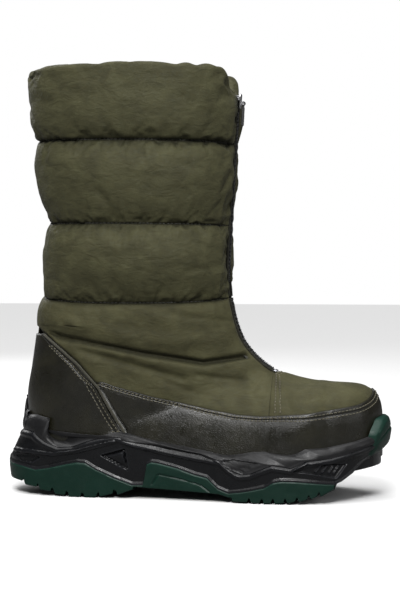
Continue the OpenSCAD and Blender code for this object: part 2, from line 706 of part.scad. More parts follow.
// Bottom of the tread: blocks of the given ends and heights, with grooves between them.
function tread(blocks) = [for (b = blocks) each [[b[0], b[2] + tread_depth], [b[0] + 0.6, b[2]], [b[1] - 0.6, b[3]],
    [b[1], b[3] + tread_depth]]];
HEEL_BLOCKS = [[-70, -55, 13, 10], [-53, -42, 8, 6], [-40, -29, 4, 2.4], [-27, -17, 1, 0], [-15, 8, 0, 0],
    [10, 20, 0.6, 2], [22, 33, 2.6, 6]];
FORE_BLOCKS = [[108, 119, 1, 0], [121, 129, 0, 0], [131, 138, 0, 0], [140, 147, 0, 0.4], [149, 156, 0.7, 1.6],
    [158, 164, 2, 3.4], [166, 172, 4, 5.8], [174, 184, 6.6, 10.8]];
ARCH_UNDER = [[36, 9], [84, 6.8], [99, 6], [105, 4.5]];
module outsole() {
    color(GREEN)
        difference() {
            sole_blank(
                concat(tread(HEEL_BLOCKS), ARCH_UNDER, tread(FORE_BLOCKS)),
                concat([[-71.4, 19], [-71, 24]], [for (q = PARTING_LINE) if (q[0] > -67 && q[0] < 185.5) q])
            );
            translate([0, 0, CORE_Z])
                linear_extrude(40)
                    polygon(bed_plan(3 - LUG_GAP));
            bed_hollow();
        }
}
module shank_pocket(extra) {
    translate([-20 - extra, -9 - extra, 19.2 - extra])
        rotate([0, 3, 0])
            cube([112 + 2 * extra, 18 + 2 * extra, 1.6 + 2 * extra]);
}
module shank() {
    color(SILVER)
        shank_pocket(0);
}
module bed_plate(inset, low, high) {
    intersection() {
        linear_extrude(120)
            polygon(bed_plan(inset));
        side_prism(concat(raised(BED_LINE, low), reversed(raised(BED_LINE, high))));
    }
}
BOARD_T = 1.8;
module insole_board() {
    color([0.5, 0.42, 0.3])
        bed_plate(SOCK_IN + 1.6, 0.2, 0.2 + BOARD_T);
}
module footbed() {
    color(OLIVE_DARK)
        bed_plate(SOCK_IN + 2.2, 0.4 + BOARD_T, 0.4 + BOARD_T + footbed_t);
}

// ---------------------------------------------------------------- named parts
module top_tier_lateral() { color(OLIVE) tier(LATERAL, COLLAR_RIB, SEAM_1_RIB); }
module middle_tier_lateral() { color(OLIVE) tier(LATERAL, SEAM_1_RIB, SEAM_2_RIB); }
module low_tier_lateral() { color(OLIVE) tier(LATERAL, SEAM_2_RIB, SEAM_3_RIB); }
module shaft_wadding_lateral() { color(FLEECE) shaft_wadding(LATERAL); }
module shaft_lining_lateral() { color(FLEECE) shaft_lining(LATERAL); }
module collar_lateral() { color(OLIVE) collar(LATERAL); }
module zip_tape_lateral() { color(OLIVE_DARK) zip_tape(LATERAL); }
module zip_teeth_lateral() { color(BLACK) zip_teeth(LATERAL); }
module top_tier_medial() { color(OLIVE) tier(MEDIAL, COLLAR_RIB, SEAM_1_RIB); }
module middle_tier_medial() { color(OLIVE) tier(MEDIAL, SEAM_1_RIB, SEAM_2_RIB); }
module low_tier_medial() { color(OLIVE) tier(MEDIAL, SEAM_2_RIB, SEAM_3_RIB); }
module shaft_wadding_medial() { color(FLEECE) shaft_wadding(MEDIAL); }
module shaft_lining_medial() { color(FLEECE) shaft_lining(MEDIAL); }
module collar_medial() { color(OLIVE) collar(MEDIAL); }
module zip_tape_medial() { color(OLIVE_DARK) zip_tape(MEDIAL); }
module zip_teeth_medial() { color(BLACK) zip_teeth(MEDIAL); }

outsole();
toe_bumper();
midsole();
sole_trim();
shank();
insole_board();
footbed();
rand();
heel_counter();
counter_piping();
vamp();
quarter(LATERAL);  // quarter_lateral
quarter(MEDIAL);  // quarter_medial
heel_stiffener();
toe_puff();
foot_wadding();
ankle_layer(LATERAL, PAD_OUT, PAD_IN);  // ankle_wadding_lateral
ankle_layer(MEDIAL, PAD_OUT, PAD_IN);  // ankle_wadding_medial
foot_lining();
ankle_layer(LATERAL, SOCK_OUT, SOCK_IN);  // ankle_lining_lateral
ankle_layer(MEDIAL, SOCK_OUT, SOCK_IN);  // ankle_lining_medial
gusset();
lower_tape(LATERAL);  // lower_tape_lateral
lower_tape(MEDIAL);  // lower_tape_medial
lower_zip_chain();
zip_end_stop();
back_stay();
back_seam_cord();
top_tier_lateral();
middle_tier_lateral();
low_tier_lateral();
shaft_wadding_lateral();
shaft_lining_lateral();
collar_lateral();
zip_tape_lateral();
zip_teeth_lateral();
top_tier_medial();
middle_tier_medial();
low_tier_medial();
shaft_wadding_medial();
shaft_lining_medial();
collar_medial();
zip_tape_medial();
zip_teeth_medial();
zip_facing();
zip_slider();
zip_puller();
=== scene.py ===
"""Looks of the quilted winter boot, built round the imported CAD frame.

Lengths are millimetres until a mesh is made. +X points to the toe, +Y to the inner side, +Z up.
"""

import math

import bmesh
import bpy
import numpy as np
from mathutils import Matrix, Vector


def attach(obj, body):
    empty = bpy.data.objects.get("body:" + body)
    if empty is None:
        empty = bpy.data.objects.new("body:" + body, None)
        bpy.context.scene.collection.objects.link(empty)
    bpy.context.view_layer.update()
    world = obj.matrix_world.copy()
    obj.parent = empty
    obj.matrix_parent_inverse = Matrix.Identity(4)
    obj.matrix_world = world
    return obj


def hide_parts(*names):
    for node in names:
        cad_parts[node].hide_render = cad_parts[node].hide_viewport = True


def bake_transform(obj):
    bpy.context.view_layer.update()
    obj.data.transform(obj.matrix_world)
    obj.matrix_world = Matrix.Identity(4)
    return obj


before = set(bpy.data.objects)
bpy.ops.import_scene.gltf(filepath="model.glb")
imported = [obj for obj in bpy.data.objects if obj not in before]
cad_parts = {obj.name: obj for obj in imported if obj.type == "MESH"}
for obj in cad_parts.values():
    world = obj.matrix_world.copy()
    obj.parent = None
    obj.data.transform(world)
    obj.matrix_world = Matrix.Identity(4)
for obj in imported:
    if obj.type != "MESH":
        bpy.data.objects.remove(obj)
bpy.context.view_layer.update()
MM = 0.001
LATERAL, MEDIAL = -1, 1
SIDE_NAME = {LATERAL: "lateral", MEDIAL: "medial"}
SIDES = (LATERAL, MEDIAL)


# ---------------------------------------------------------------- numbers
def smooth(t):
    """0 below 0, 1 above 1, and an even S between."""
    t = np.clip(t, 0, 1)
    return t * t * (3 - 2 * t)


def mix(a, b, t):
    return a + (b - a) * t


def spline(table, v):
    """Catmull-Rom curve through the rows of table, at row numbers v."""
    v = np.asarray(v, float)
    i = np.clip(np.floor(v).astype(int), 0, len(table) - 2)
    f = (v - i).reshape(v.shape + (1,) * (table.ndim - 1))
    a, b, c = table[np.maximum(i - 1, 0)], table[i], table[i + 1]
    d = table[np.minimum(i + 2, len(table) - 1)]
    return 0.5 * (2 * b + (c - a) * f + (2 * a - 5 * b + 4 * c - d) * f**2 + (3 * b - a - 3 * c + d) * f**3)


def value_noise(points, size, seed):
    """Smooth random numbers from -1 to 1, with features about size across."""
    table = np.random.default_rng(seed).uniform(-1, 1, 4096)
    shape = points.shape[:-1]
    q = points.reshape(-1, 3) / size
    cell = np.floor(q).astype(np.int64)
    f = smooth(q - cell)
    total = np.zeros(len(q))
    for corner in range(8):
        step = np.array([corner & 1, corner >> 1 & 1, corner >> 2])
        c = cell + step
        key = (c[:, 0] * 73856093 ^ c[:, 1] * 19349663 ^ c[:, 2] * 83492791) % 4096
        total += np.prod(np.where(step, f, 1 - f), axis=1) * table[key]
    return total.reshape(shape)


def line_noise(s, size, seed):
    """Smooth random numbers along one coordinate."""
    flat = np.zeros(np.shape(s) + (3,))
    flat[..., 0] = s
    return value_noise(flat, size, seed)


def interp(line, x):
    """Height of a side-view line at x."""
    line = np.asarray(line, float)
    return np.interp(x, line[:, 0], line[:, 1])


def run_along(path):
    """Distance along a path of points from its first point."""
    return np.concatenate([[0], np.cumsum(np.linalg.norm(np.diff(path, axis=0), axis=1))])


def arc_lengths(grid):
    """Distance along each row of a grid from its first column."""
    steps = np.linalg.norm(np.diff(grid, axis=1), axis=-1)
    return np.concatenate([np.zeros((len(grid), 1)), np.cumsum(steps, axis=1)], axis=1)


def along(places, run, points):
    """Points at the given distances along a path, or anything else kept per point of it."""
    return np.stack([np.interp(places, run, points[:, i]) for i in range(3)], -1)


def distance_to_line(points, path):
    """Distance in side view from each point to the nearest leg of a line."""
    best = np.full(points.shape[:-1], 1e9)
    for a, b in zip(path[:-1], path[1:]):
        a, leg = np.array(a, float), np.subtract(b, a)
        t = np.clip(((points - a) @ leg) / (leg @ leg), 0, 1)
        best = np.minimum(best, np.linalg.norm(points - a - t[..., None] * leg, axis=-1))
    return best


# ---------------------------------------------------------------- the upper as a stack of ribs
# Columns: front x, front z, back x, back z, lateral half width, medial half width, where along the
# rib it is widest, and how boxy it is before and behind that place.
RIBS = np.array([
    [108.3, 326, -52.5, 326, 57, 55, 0.5, 2.3, 2.3],
    [106.8, 300, -50.8, 300, 55, 53.5, 0.5, 2.3, 2.3],
    [105, 269, -48.5, 269, 53, 51, 0.5, 2.3, 2.3],
    [103.1, 238, -44.3, 238, 50, 48.5, 0.5, 2.3, 2.3],
    [101.3, 206, -40.3, 206, 47.5, 46, 0.5, 2.2, 2.3],
    [99.6, 176, -40.2, 176, 44.5, 43, 0.5, 2.2, 2.3],
    [101.5, 150, -46, 150, 41, 39.5, 0.52, 2.2, 2.3],
    [105.5, 132, -49.5, 122, 39, 37.5, 0.58, 2.2, 2.3],
    [111, 118, -53, 98, 37, 35.5, 0.64, 2.2, 2.3],
    [118, 108.5, -56.5, 75, 36, 34, 0.68, 2.2, 2.3],
    [126, 101, -54.5, 54, 35, 32.8, 0.7, 2.2, 2.3],
    [133, 96, -54.5, 29, 34, 32, 0.7, 2.2, 2.3],
    [140, 92.5, -32, 28.2, 34.2, 32, 0.66, 2.2, 2.3],
    [150, 89.5, 15, 26, 35.5, 32.5, 0.62, 2.2, 2.3],
    [160, 87.2, 65, 23, 38.5, 33.5, 0.62, 2.3, 2.3],
    [167, 86, 112, 21, 43, 36, 0.62, 2.4, 2.3],
    [172, 85.6, 148, 21, 44.5, 38, 0.6, 2.4, 2.3],
    [176, 85.2, 176, 22, 39.5, 36, 0.58, 2.5, 2.3],
    [184, 84.8, 184, 24.4, 33, 33, 0.55, 2.5, 2.3],
    [192, 84.4, 192, 26.2, 22.6, 23.2, 0.52, 2.6, 2.3],
    [200, 83, 200, 27.2, 14.5, 14.5, 0.5, 2.6, 2.3],
])
HEEL_RIB, OPEN_RIB, FAN_RIB, TOE_RIB = 11, 13.2, 17, 20
VAMP_RIB, TRIM_RIB, ZIP_END_RIB = 11.7, 12.9, 11.4
RIM_RIB = 10.4
RAND_LINE = [(-40, 104), (6, 88), (18, 83.4), (47, 75.3), (90, 66.4), (111, 63), (128, 62.3), (163, 64.7),
             (176, 66.7), (184, 70.5), (192, 76), (202, 82)]
PIPED_LINE = [(-53, 131), (-41, 124), (-22, 110), (-10, 100), (6, 82), (13, 69), (20, 57), (25, 48), (34, 24)]


def openness(v):
    """How open a rib is at its bottom end: 0 closes round the heel, 1 stands up from the sole."""
    share = np.clip((v - HEEL_RIB) / (OPEN_RIB - HEEL_RIB), 0, 1)
    return (1 - (1 - share) ** 2.3) ** (1 / 2.3)


def upper(v, p, side, d):
    """Points of the upper: rib v, place p from 0 in front to 1 behind, and depth d below the skin."""
    v, p, side, d = np.broadcast_arrays(*[np.asarray(a, float) for a in (v, p, side, d)])
    r = spline(RIBS, v)
    front, back = r[..., 0:2], r[..., 2:4]
    along = (back - front) / np.linalg.norm(back - front, axis=-1, keepdims=True)
    is_open = openness(v)
    f = front + d[..., None] * along
    b = back - (d * (1 - is_open))[..., None] * along
    w = np.where(side < 0, r[..., 4], r[..., 5]) - d
    s = np.maximum(np.sin(np.pi * np.clip(p, 0, 1)), 0)
    c = np.cos(np.pi * np.clip(p, 0, 1))
    widest, before, behind = r[..., 6], r[..., 7], r[..., 8]
    in_front = p <= 0.5
    t = np.where(in_front, widest * (1 - np.maximum(c, 0) ** (2 / before)),
                 widest + (1 - widest) * np.maximum(-c, 0) ** (2 / behind))
    out = np.where(in_front, w * s ** (2 / before), w * (is_open + (1 - is_open) * s ** (2 / behind)))
    base = f + t[..., None] * (b - f)
    turn = np.pi / 2 * (TOE_RIB - np.maximum(v, FAN_RIB)) / (TOE_RIB - FAN_RIB)
    return np.stack([base[..., 0] + out * np.cos(turn), side * out * np.sin(turn), base[..., 1]], -1)


def place_at_height(v, z):
    r = spline(RIBS, v)
    t = np.clip((r[..., 1] - z) / (r[..., 1] - r[..., 3]), 0, 1)
    w = r[..., 6]
    ahead = np.arccos(np.clip((w - t) / w, 0, 1) ** (r[..., 7] / 2))
    behind = np.pi / 2 + np.arcsin(np.clip((t - w) / (1 - w), 0, 1) ** (r[..., 8] / 2))
    return np.where(t < w, ahead, behind) / np.pi


def place_in_front(v, y, side):
    r = spline(RIBS, v)
    w = r[..., 4] if side < 0 else r[..., 5]
    return np.arcsin((y / w) ** (r[..., 7] / 2)) / np.pi


def place_behind(v, y, side):
    r = spline(RIBS, v)
    w = r[..., 4] if side < 0 else r[..., 5]
    return 1 - np.arcsin((y / w) ** (r[..., 8] / 2)) / np.pi


def place_on_line(v, line):
    """Place on each rib where it crosses a side-view line, or 1 where it doesn't."""
    v = np.asarray(v, float)
    r = spline(RIBS, v)
    front, run = r[..., 0:2], r[..., 2:4] - r[..., 0:2]
    t = np.ones(v.shape)
    for a, b in reversed(list(zip(line[:-1], line[1:]))):
        leg = np.subtract(b, a)
        gap = np.asarray(a) - front
        den = run[..., 0] * leg[1] - run[..., 1] * leg[0]
        hit = (gap[..., 0] * leg[1] - gap[..., 1] * leg[0]) / den
        share = (gap[..., 0] * run[..., 1] - gap[..., 1] * run[..., 0]) / den
        t = np.where((share >= 0) & (share <= 1), np.clip(hit, 0, 1), t)
    return place_at_height(v, mix(r[..., 1], r[..., 3], t))


def rand_place(v):
    return place_on_line(v, RAND_LINE)


def piped_place(v):
    return np.where(np.asarray(v) > TRIM_RIB, 1.0, place_on_line(v, PIPED_LINE))


def even_shares(v, side, p0, p1, count):
    """Shares of the way from p0 to p1 on rib v that split it into even steps."""
    share = np.linspace(0, 1, 400)
    length = run_along(upper(v, mix(p0, p1, share), side, 0))
    return np.interp(np.linspace(0, length[-1], count), length, share)


def along_surface(v, p, side, distance):
    """Place on rib v, distance further back than p."""
    step = 0.004
    rate = np.linalg.norm(upper(v, p + step, side, 0) - upper(v, p, side, 0), axis=-1) / step
    return p + distance / rate


# ---------------------------------------------------------------- meshes
def quads(a, b, c, d):
    return np.stack([a, b, c, d], -1).reshape(-1, 4)


def sheet(outer, inner):
    """Points and faces of a closed sheet between two grids."""
    rows, columns = outer.shape[:2]
    at = np.arange(rows * columns).reshape(rows, columns)
    under = at + rows * columns
    parts = [
        quads(at[:-1, :-1], at[1:, :-1], at[1:, 1:], at[:-1, 1:]),
        quads(under[:-1, :-1], under[:-1, 1:], under[1:, 1:], under[1:, :-1]),
    ]
    for k in (0, -1):
        parts.append(quads(at[k, :-1], at[k, 1:], under[k, 1:], under[k, :-1]))
        parts.append(quads(at[:-1, k], at[1:, k], under[1:, k], under[:-1, k]))
    return np.concatenate([outer.reshape(-1, 3), inner.reshape(-1, 3)]), np.concatenate(parts).tolist()


def loft(loops, closed=False):
    """Points and faces through loops of equal length: a ring if closed, else capped at both ends."""
    count, size = loops.shape[:2]
    at = np.arange(count * size).reshape(count, size)
    after = np.roll(at, -1, axis=1)
    faces = quads(at[:-1], after[:-1], after[1:], at[1:]).tolist()
    if closed:
        faces += quads(at[-1], after[-1], after[0], at[0]).tolist()
    else:
        for loop in (at[0], at[-1]):
            faces += ladder(loop)
    return loops.reshape(-1, 3), faces


def ladder(loop):
    """Faces across a loop whose points i and -i face each other."""
    half = len(loop) // 2
    i = np.arange(1, half - 1)
    faces = quads(loop[i], loop[i + 1], loop[-i - 1], loop[-i]).tolist()
    return faces + [[int(loop[0]), int(loop[1]), int(loop[-1])],
                    [int(loop[half - 1]), int(loop[half]), int(loop[half + 1])]]


def joined(parts):
    """One list of points and faces from several."""
    points, faces, start = [], [], 0
    for part_points, part_faces in parts:
        points.append(part_points)
        faces += [[start + i for i in face] for face in part_faces]
        start += len(part_points)
    return np.concatenate(points), faces


def make_piece(name, shape, material, slot, sharp=None, weld=1e-6):
    """A smooth-shaded mesh object of millimetre points, with edges over sharp degrees kept crisp."""
    points, faces = shape
    mesh = bpy.data.meshes.new(name)
    mesh.from_pydata((np.asarray(points) * MM).tolist(), [], faces)
    bm = bmesh.new()
    bm.from_mesh(mesh)
    bmesh.ops.remove_doubles(bm, verts=bm.verts, dist=weld)
    bmesh.ops.dissolve_degenerate(bm, edges=bm.edges, dist=1e-7)
    bmesh.ops.recalc_face_normals(bm, faces=bm.faces)
    bm.to_mesh(mesh)
    bm.free()
    mesh.polygons.foreach_set("use_smooth", [True] * len(mesh.polygons))
    if sharp:
        mesh.set_sharp_from_angle(angle=math.radians(sharp))
    mesh.materials.append(material)
    piece = bpy.data.objects.new(name, mesh)
    bpy.context.scene.collection.objects.link(piece)
    return piece


def grid_normals(grid, inner):
    """Unit normals of a grid of points, pointing away from inner."""
    du, dv = np.gradient(grid, axis=0), np.gradient(grid, axis=1)
    n = np.cross(du, dv)
    n /= np.maximum(np.linalg.norm(n, axis=-1, keepdims=True), 1e-9)
    away = np.sign(np.sum(n * (grid - inner), axis=-1, keepdims=True))
    return n * np.where(away == 0, 1, away)


def refine(grid, times):
    """The same grid with each cell split times by times along smooth curves."""
    grid = spline(grid, np.linspace(0, len(grid) - 1, (len(grid) - 1) * times + 1))
    columns = grid.swapaxes(0, 1)
    fine = spline(columns, np.linspace(0, len(columns) - 1, (len(columns) - 1) * times + 1))
    return fine.swapaxes(0, 1)


def tube(path, radius, sides=8, closed=False):
    """A round cord along a path."""
    tangent = np.gradient(path, axis=0)
    tangent /= np.linalg.norm(tangent, axis=1, keepdims=True)
    across = np.cross(tangent, [0.31, 0.9, 0.29])
    across /= np.linalg.norm(across, axis=1, keepdims=True)
    other = np.cross(tangent, across)
    angle = np.linspace(0, 2 * np.pi, sides, endpoint=False)
    radius = np.broadcast_to(radius, len(path))[:, None, None]
    spoke = np.cos(angle)[:, None] * across[:, None] + np.sin(angle)[:, None] * other[:, None]
    loops = path[:, None] + radius * spoke
    return loft(loops, closed)


# ---------------------------------------------------------------- stitches
STITCH_PITCH, STITCH_LENGTH, STITCH_RADIUS = 3.0, 2.1, 0.34
THREAD_SIDES = 6
# Rings of a stitch, in half lengths from its middle.
STITCH_RINGS = (-1, -0.8, 0, 0.8, 1)


def stitches(path, normal, radius=STITCH_RADIUS):
    """Thread laid over a surface in short arched stitches."""
    run = run_along(path)
    places = np.arange(STITCH_PITCH / 2, run[-1] - STITCH_PITCH / 2, STITCH_PITCH)
    centre, ahead = along(places, run, path), along(places + 0.5, run, path)
    up = along(places, run, normal)
    t = ahead - centre
    t /= np.linalg.norm(t, axis=1, keepdims=True)
    across = np.cross(t, up)
    across /= np.linalg.norm(across, axis=1, keepdims=True)
    rings = []
    for a in STITCH_RINGS:
        thick = radius * (0.35 if abs(a) == 1 else 1)
        spine = centre + t * a * STITCH_LENGTH / 2 + up * (radius * 0.9 * (1 - 1.5 * a * a))
        for k in range(THREAD_SIDES):
            angle = 2 * math.pi * k / THREAD_SIDES
            rings.append(spine + thick * (math.cos(angle) * across + math.sin(angle) * up))
    points = np.stack(rings, 1)
    size = len(STITCH_RINGS) * THREAD_SIDES
    at = np.arange(size).reshape(len(STITCH_RINGS), THREAD_SIDES)
    after = np.roll(at, -1, axis=1)
    faces = quads(at[:-1], after[:-1], after[1:], at[1:])
    ends = [at[0].tolist(), at[-1].tolist()]
    every = []
    for i in range(len(points)):
        every += (faces + i * size).tolist()
        every += [[n + i * size for n in end] for end in ends]
    return points.reshape(-1, 3), every


def seam_path(v, p, side, d):
    """A path on the upper and its normals."""
    path = upper(v, p, side, d)
    normal = upper(v, p, side, d - 1) - path
    return path, normal / np.maximum(np.linalg.norm(normal, axis=-1, keepdims=True), 1e-9)


# ---------------------------------------------------------------- materials
class Shader:
    """A Principled material with short calls that add procedural nodes."""

    def __init__(self, name, colour, roughness=0.6):
        self.material = bpy.data.materials.new(name)
        self.material.use_nodes = True
        self.tree = self.material.node_tree
        self.surface = self.tree.nodes["Principled BSDF"]
        self.place = self.tree.nodes.new("ShaderNodeTexCoord").outputs["Object"]
        self.set("Base Color", (*colour, 1))
        self.set("Roughness", roughness)

    def set(self, name, value):
        if isinstance(value, bpy.types.NodeSocket):
            self.tree.links.new(value, self.surface.inputs[name])
        else:
            self.surface.inputs[name].default_value = value

    def add(self, kind, inputs, output=0, **settings):
        node = self.tree.nodes.new("ShaderNode" + kind)
        for key, value in settings.items():
            setattr(node, key, value)
        for key, value in inputs.items():
            if isinstance(value, bpy.types.NodeSocket):
                self.tree.links.new(value, node.inputs[key])
            else:
                node.inputs[key].default_value = value
        return node.outputs[output]

    def scaled(self, size, stretch=(1, 1, 1)):
        scale = [s / (size * MM) for s in stretch]
        return self.add("Mapping", {"Vector": self.place, "Scale": scale})

    def noise(self, size, detail=3.0, stretch=(1, 1, 1), distortion=0.0):
        inputs = {"Vector": self.scaled(size, stretch), "Scale": 1.0, "Detail": detail}
        return self.add("TexNoise", {**inputs, "Distortion": distortion})

    def cells(self, size, feature="F1"):
        return self.add("TexVoronoi", {"Vector": self.scaled(size), "Scale": 1.0}, feature=feature)

    def remap(self, value, low, high, to_low=0.0, to_high=1.0):
        return self.add("MapRange", {"Value": value, "From Min": low, "From Max": high,
                                     "To Min": to_low, "To Max": to_high})

    def maths(self, operation, a, b=0.0):
        return self.add("Math", {0: a, 1: b}, operation=operation)

    def colours(self, factor, first, second):
        inputs = {0: factor, 6: first, 7: second}
        for key in (6, 7):
            if not isinstance(inputs[key], bpy.types.NodeSocket):
                inputs[key] = (*inputs[key], 1)
        return self.add("Mix", inputs, output=2, data_type="RGBA")

    def bump(self, height, depth, under=None):
        inputs = {"Height": height, "Distance": depth * MM, "Strength": 1.0}
        if under is not None:
            inputs["Normal"] = under
        return self.add("Bump", inputs)

    def weave(self, period):
        """A plain weave that reads the same from every side."""
        split = self.tree.nodes.new("ShaderNodeSeparateXYZ")
        self.tree.links.new(self.place, split.inputs[0])
        turns = 2 * math.pi / (period * MM)
        x, y, z = [self.maths("SINE", self.maths("MULTIPLY", split.outputs[i], turns)) for i in range(3)]
        pairs = [self.maths("MULTIPLY", a, b) for a, b in ((x, z), (y, z), (x, y))]
        return self.maths("ADD", pairs[0], self.maths("ADD", pairs[1], pairs[2]))


def nylon(name, colour, lift=1.0):
    """Quilting nylon: fine weave, soft crumples, mottled colour, painted shade in the deep seams and a dull sheen."""
    s = Shader(name, colour, 0.62)
    dark = [c * 0.74 for c in colour]
    light = [c * 1.28 for c in colour]
    warm = (colour[0] * 1.16, colour[1] * 1.02, colour[2] * 0.95)
    broad = s.remap(s.noise(16, 4, (1, 1, 1.3), 0.6), 0.32, 0.68)
    fine = s.remap(s.noise(3.4, 5, (1, 1, 1.7)), 0.3, 0.7)
    tone = s.colours(broad, dark, light)
    tone = s.colours(s.maths("MULTIPLY", fine, 0.35), tone, warm)
    # Painted shade: the colour darkens to a fifth of itself where ambient occlusion finds the deep seams between the
    # tiers.
    painted_seam_shade = s.add("AmbientOcclusion", {"Distance": 11 * MM}, output="AO")
    s.set("Base Color", s.colours(s.remap(painted_seam_shade, 0.5, 0.92), [c * 0.2 for c in colour], tone))
    s.set("Roughness", s.remap(fine, 0, 1, 0.5, 0.72))
    s.set("Sheen Weight", 0.05)
    s.set("Sheen Roughness", 0.45)
    s.set("Sheen Tint", (0.8, 0.8, 0.68, 1))
    s.set("Specular IOR Level", 0.16)
    crumple = s.bump(s.noise(9, 3, (0.8, 0.8, 1.5), 0.8), 1.0 * lift)
    crumple = s.bump(s.noise(3.2, 4, (1, 1, 1.6), 0.5), 0.3 * lift, crumple)
    s.set("Normal", s.bump(s.weave(0.55), 0.03, crumple))
    return s.material


def leather(name, colour, wear_and_painted_highlight):
    """Coated leather: pebbled grain, scuffed lighter patches and an uneven shine."""
    s = Shader(name, colour, 0.4)
    patches = s.remap(s.noise(26, 5, distortion=0.8), 0.42, 0.72)
    pores = s.cells(1.3, "DISTANCE_TO_EDGE")
    tone = s.colours(s.maths("MULTIPLY", patches, 0.7), colour, wear_and_painted_highlight)
    tone = s.colours(s.remap(pores, 0, 0.12, 0.35, 0), tone, [c * 0.45 for c in colour])
    s.set("Base Color", tone)
    s.set("Roughness", s.remap(s.noise(7, 4), 0.3, 0.7, 0.26, 0.4))
    s.set("Specular IOR Level", 0.4)
    s.set("Coat Weight", 0.12)
    s.set("Coat Roughness", 0.35)
    grain = s.bump(s.remap(pores, 0, 0.2), 0.06)
    s.set("Normal", s.bump(s.noise(12, 3), 0.5, grain))
    return s.material


def moulded(name, colour, edge, rough, grain=0.05, streak=0.0):
    """Moulded rubber or foam: fine skin texture, lighter scuffs, and a painted highlight that lightens the sharp edges.
    """
    s = Shader(name, colour, rough)
    s.set("Specular IOR Level", 0.27)
    # Painted highlight: sharp edges, found by pointiness, are painted lighter; the noise scuffs are wear.
    wear_and_painted_highlight = s.remap(s.add("NewGeometry", {}, output="Pointiness"), 0.505, 0.56)
    scuffs = s.remap(s.noise(11, 6, (0.6, 1, 1), 0.4), 0.5, 0.78)
    scuffs_and_painted_highlight = s.maths("ADD", s.maths("MULTIPLY", wear_and_painted_highlight, 0.6), s.maths("MULTIPLY", scuffs, streak))
    scuffs_and_highlight_mask = s.maths("MINIMUM", scuffs_and_painted_highlight, 1)
    s.set("Base Color", s.colours(scuffs_and_highlight_mask, colour, edge))
    s.set("Roughness", s.remap(s.noise(5, 4), 0.3, 0.7, rough - 0.07, rough + 0.08))
    skin = s.bump(s.noise(0.9, 2), grain)
    s.set("Normal", s.bump(s.noise(8, 3), grain * 4, skin))
    return s.material


def pile(name, colour):
    """Brushed fleece: curls of fibre, with painted shade that darkens the hollows of the curls."""
    s = Shader(name, colour, 0.95)
    curls = s.noise(2.2, 6, distortion=1.6)
    dark, light = [c * 0.5 for c in colour], [c * 1.5 for c in colour]
    # Painted shade: the colour follows the curl bump and is darker in its hollows.
    s.set("Base Color", s.colours(s.remap(curls, 0.3, 0.7), dark, light))
    s.set("Sheen Weight", 0.12)
    s.set("Sheen Roughness", 0.6)
    s.set("Normal", s.bump(curls, 1.2))
    return s.material


def woven(name, colour, period, rough=0.8):
    """Narrow woven stuff: tape, felt, thread or board, by its thread size."""
    s = Shader(name, colour, rough)
    cross = s.weave(period)
    dark, light = [c * 0.65 for c in colour], [c * 1.3 for c in colour]
    s.set("Base Color", s.colours(s.remap(cross, -1.2, 1.2), dark, light))
    s.set("Sheen Weight", 0.15)
    s.set("Normal", s.bump(cross, 0.08, s.bump(s.noise(4, 3), 0.2)))
    return s.material


def metal(name, colour, rough):
    """Plated metal with fine brushing and dull spots."""
    s = Shader(name, colour, rough)
    s.set("Metallic", 1.0)
    spots = s.remap(s.noise(2.5, 5), 0.45, 0.7)
    s.set("Base Color", s.colours(spots, colour, [c * 0.7 for c in colour]))
    s.set("Roughness", s.remap(spots, 0, 1, rough - 0.06, rough + 0.15))
    s.set("Normal", s.bump(s.noise(0.4, 2, (1, 1, 0.15)), 0.01))
    return s.material


OLIVE_NYLON = nylon("olive_nylon", (0.052, 0.0515, 0.025))
VAMP_NYLON = nylon("vamp_nylon", (0.056, 0.0545, 0.026), 0.7)
PLAIN_NYLON = nylon("plain_nylon", (0.018, 0.018, 0.012), 0.6)
RAND_LEATHER = leather("coated_leather", (0.0075, 0.0070, 0.0038), (0.019, 0.0175, 0.0088))
FOAM = moulded("black_foam", (0.0042, 0.0045, 0.0052), (0.024, 0.025, 0.03), 0.3, 0.04, 0.08)
TRIM_RUBBER = moulded("black_rubber", (0.0075, 0.0075, 0.008), (0.045, 0.045, 0.047), 0.4, 0.05, 0.12)
GREEN_RUBBER = moulded("green_rubber", (0.0022, 0.018, 0.0115), (0.008, 0.038, 0.026), 0.45, 0.07, 0.25)
FLEECE = pile("fleece", (0.03, 0.029, 0.021))
WADDING = pile("polyester_wadding", (0.5, 0.5, 0.47))
TAPE = woven("zip_tape", (0.03, 0.03, 0.022), 0.9)
THREAD = woven("stitch_thread", (0.15, 0.135, 0.085), 0.5, 0.6)
DARK_THREAD = woven("dark_thread", (0.022, 0.021, 0.013), 0.5, 0.6)
CORD = woven("piping_cord", (0.045, 0.042, 0.026), 0.7)
FELT = woven("felt", (0.07, 0.07, 0.06), 1.1, 0.95)
BOARD = woven("fibre_board", (0.35, 0.27, 0.17), 1.6, 0.9)
STIFFENER = moulded("stiffener_board", (0.03, 0.03, 0.03), (0.08, 0.08, 0.08), 0.6)
ZIP_PLASTIC = moulded("zip_plastic", (0.01, 0.01, 0.01), (0.06, 0.06, 0.06), 0.35)
SLIDER_METAL = metal("slider_metal", (0.78, 0.78, 0.8), 0.22)
STEEL = metal("spring_steel", (0.45, 0.46, 0.5), 0.35)


# ---------------------------------------------------------------- pieces with their transforms baked in
def ride_flap(piece):
    """Fabric of a shaft half, its transform baked into its mesh."""
    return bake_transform(piece)


def ride_ankle(piece):
    """Soft stuff where the foot meets the shaft, its transform baked into its mesh."""
    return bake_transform(piece)


# ---------------------------------------------------------------- cloth
CLOTH_FRAMES = 18
CLOTH_PRESSURE = 4.0
CLOTH_SLACK = -0.04
CLOTH_BENDING = 0.4
# How far the cloth may carry a point outwards.
SWELL_CAP = 2.6


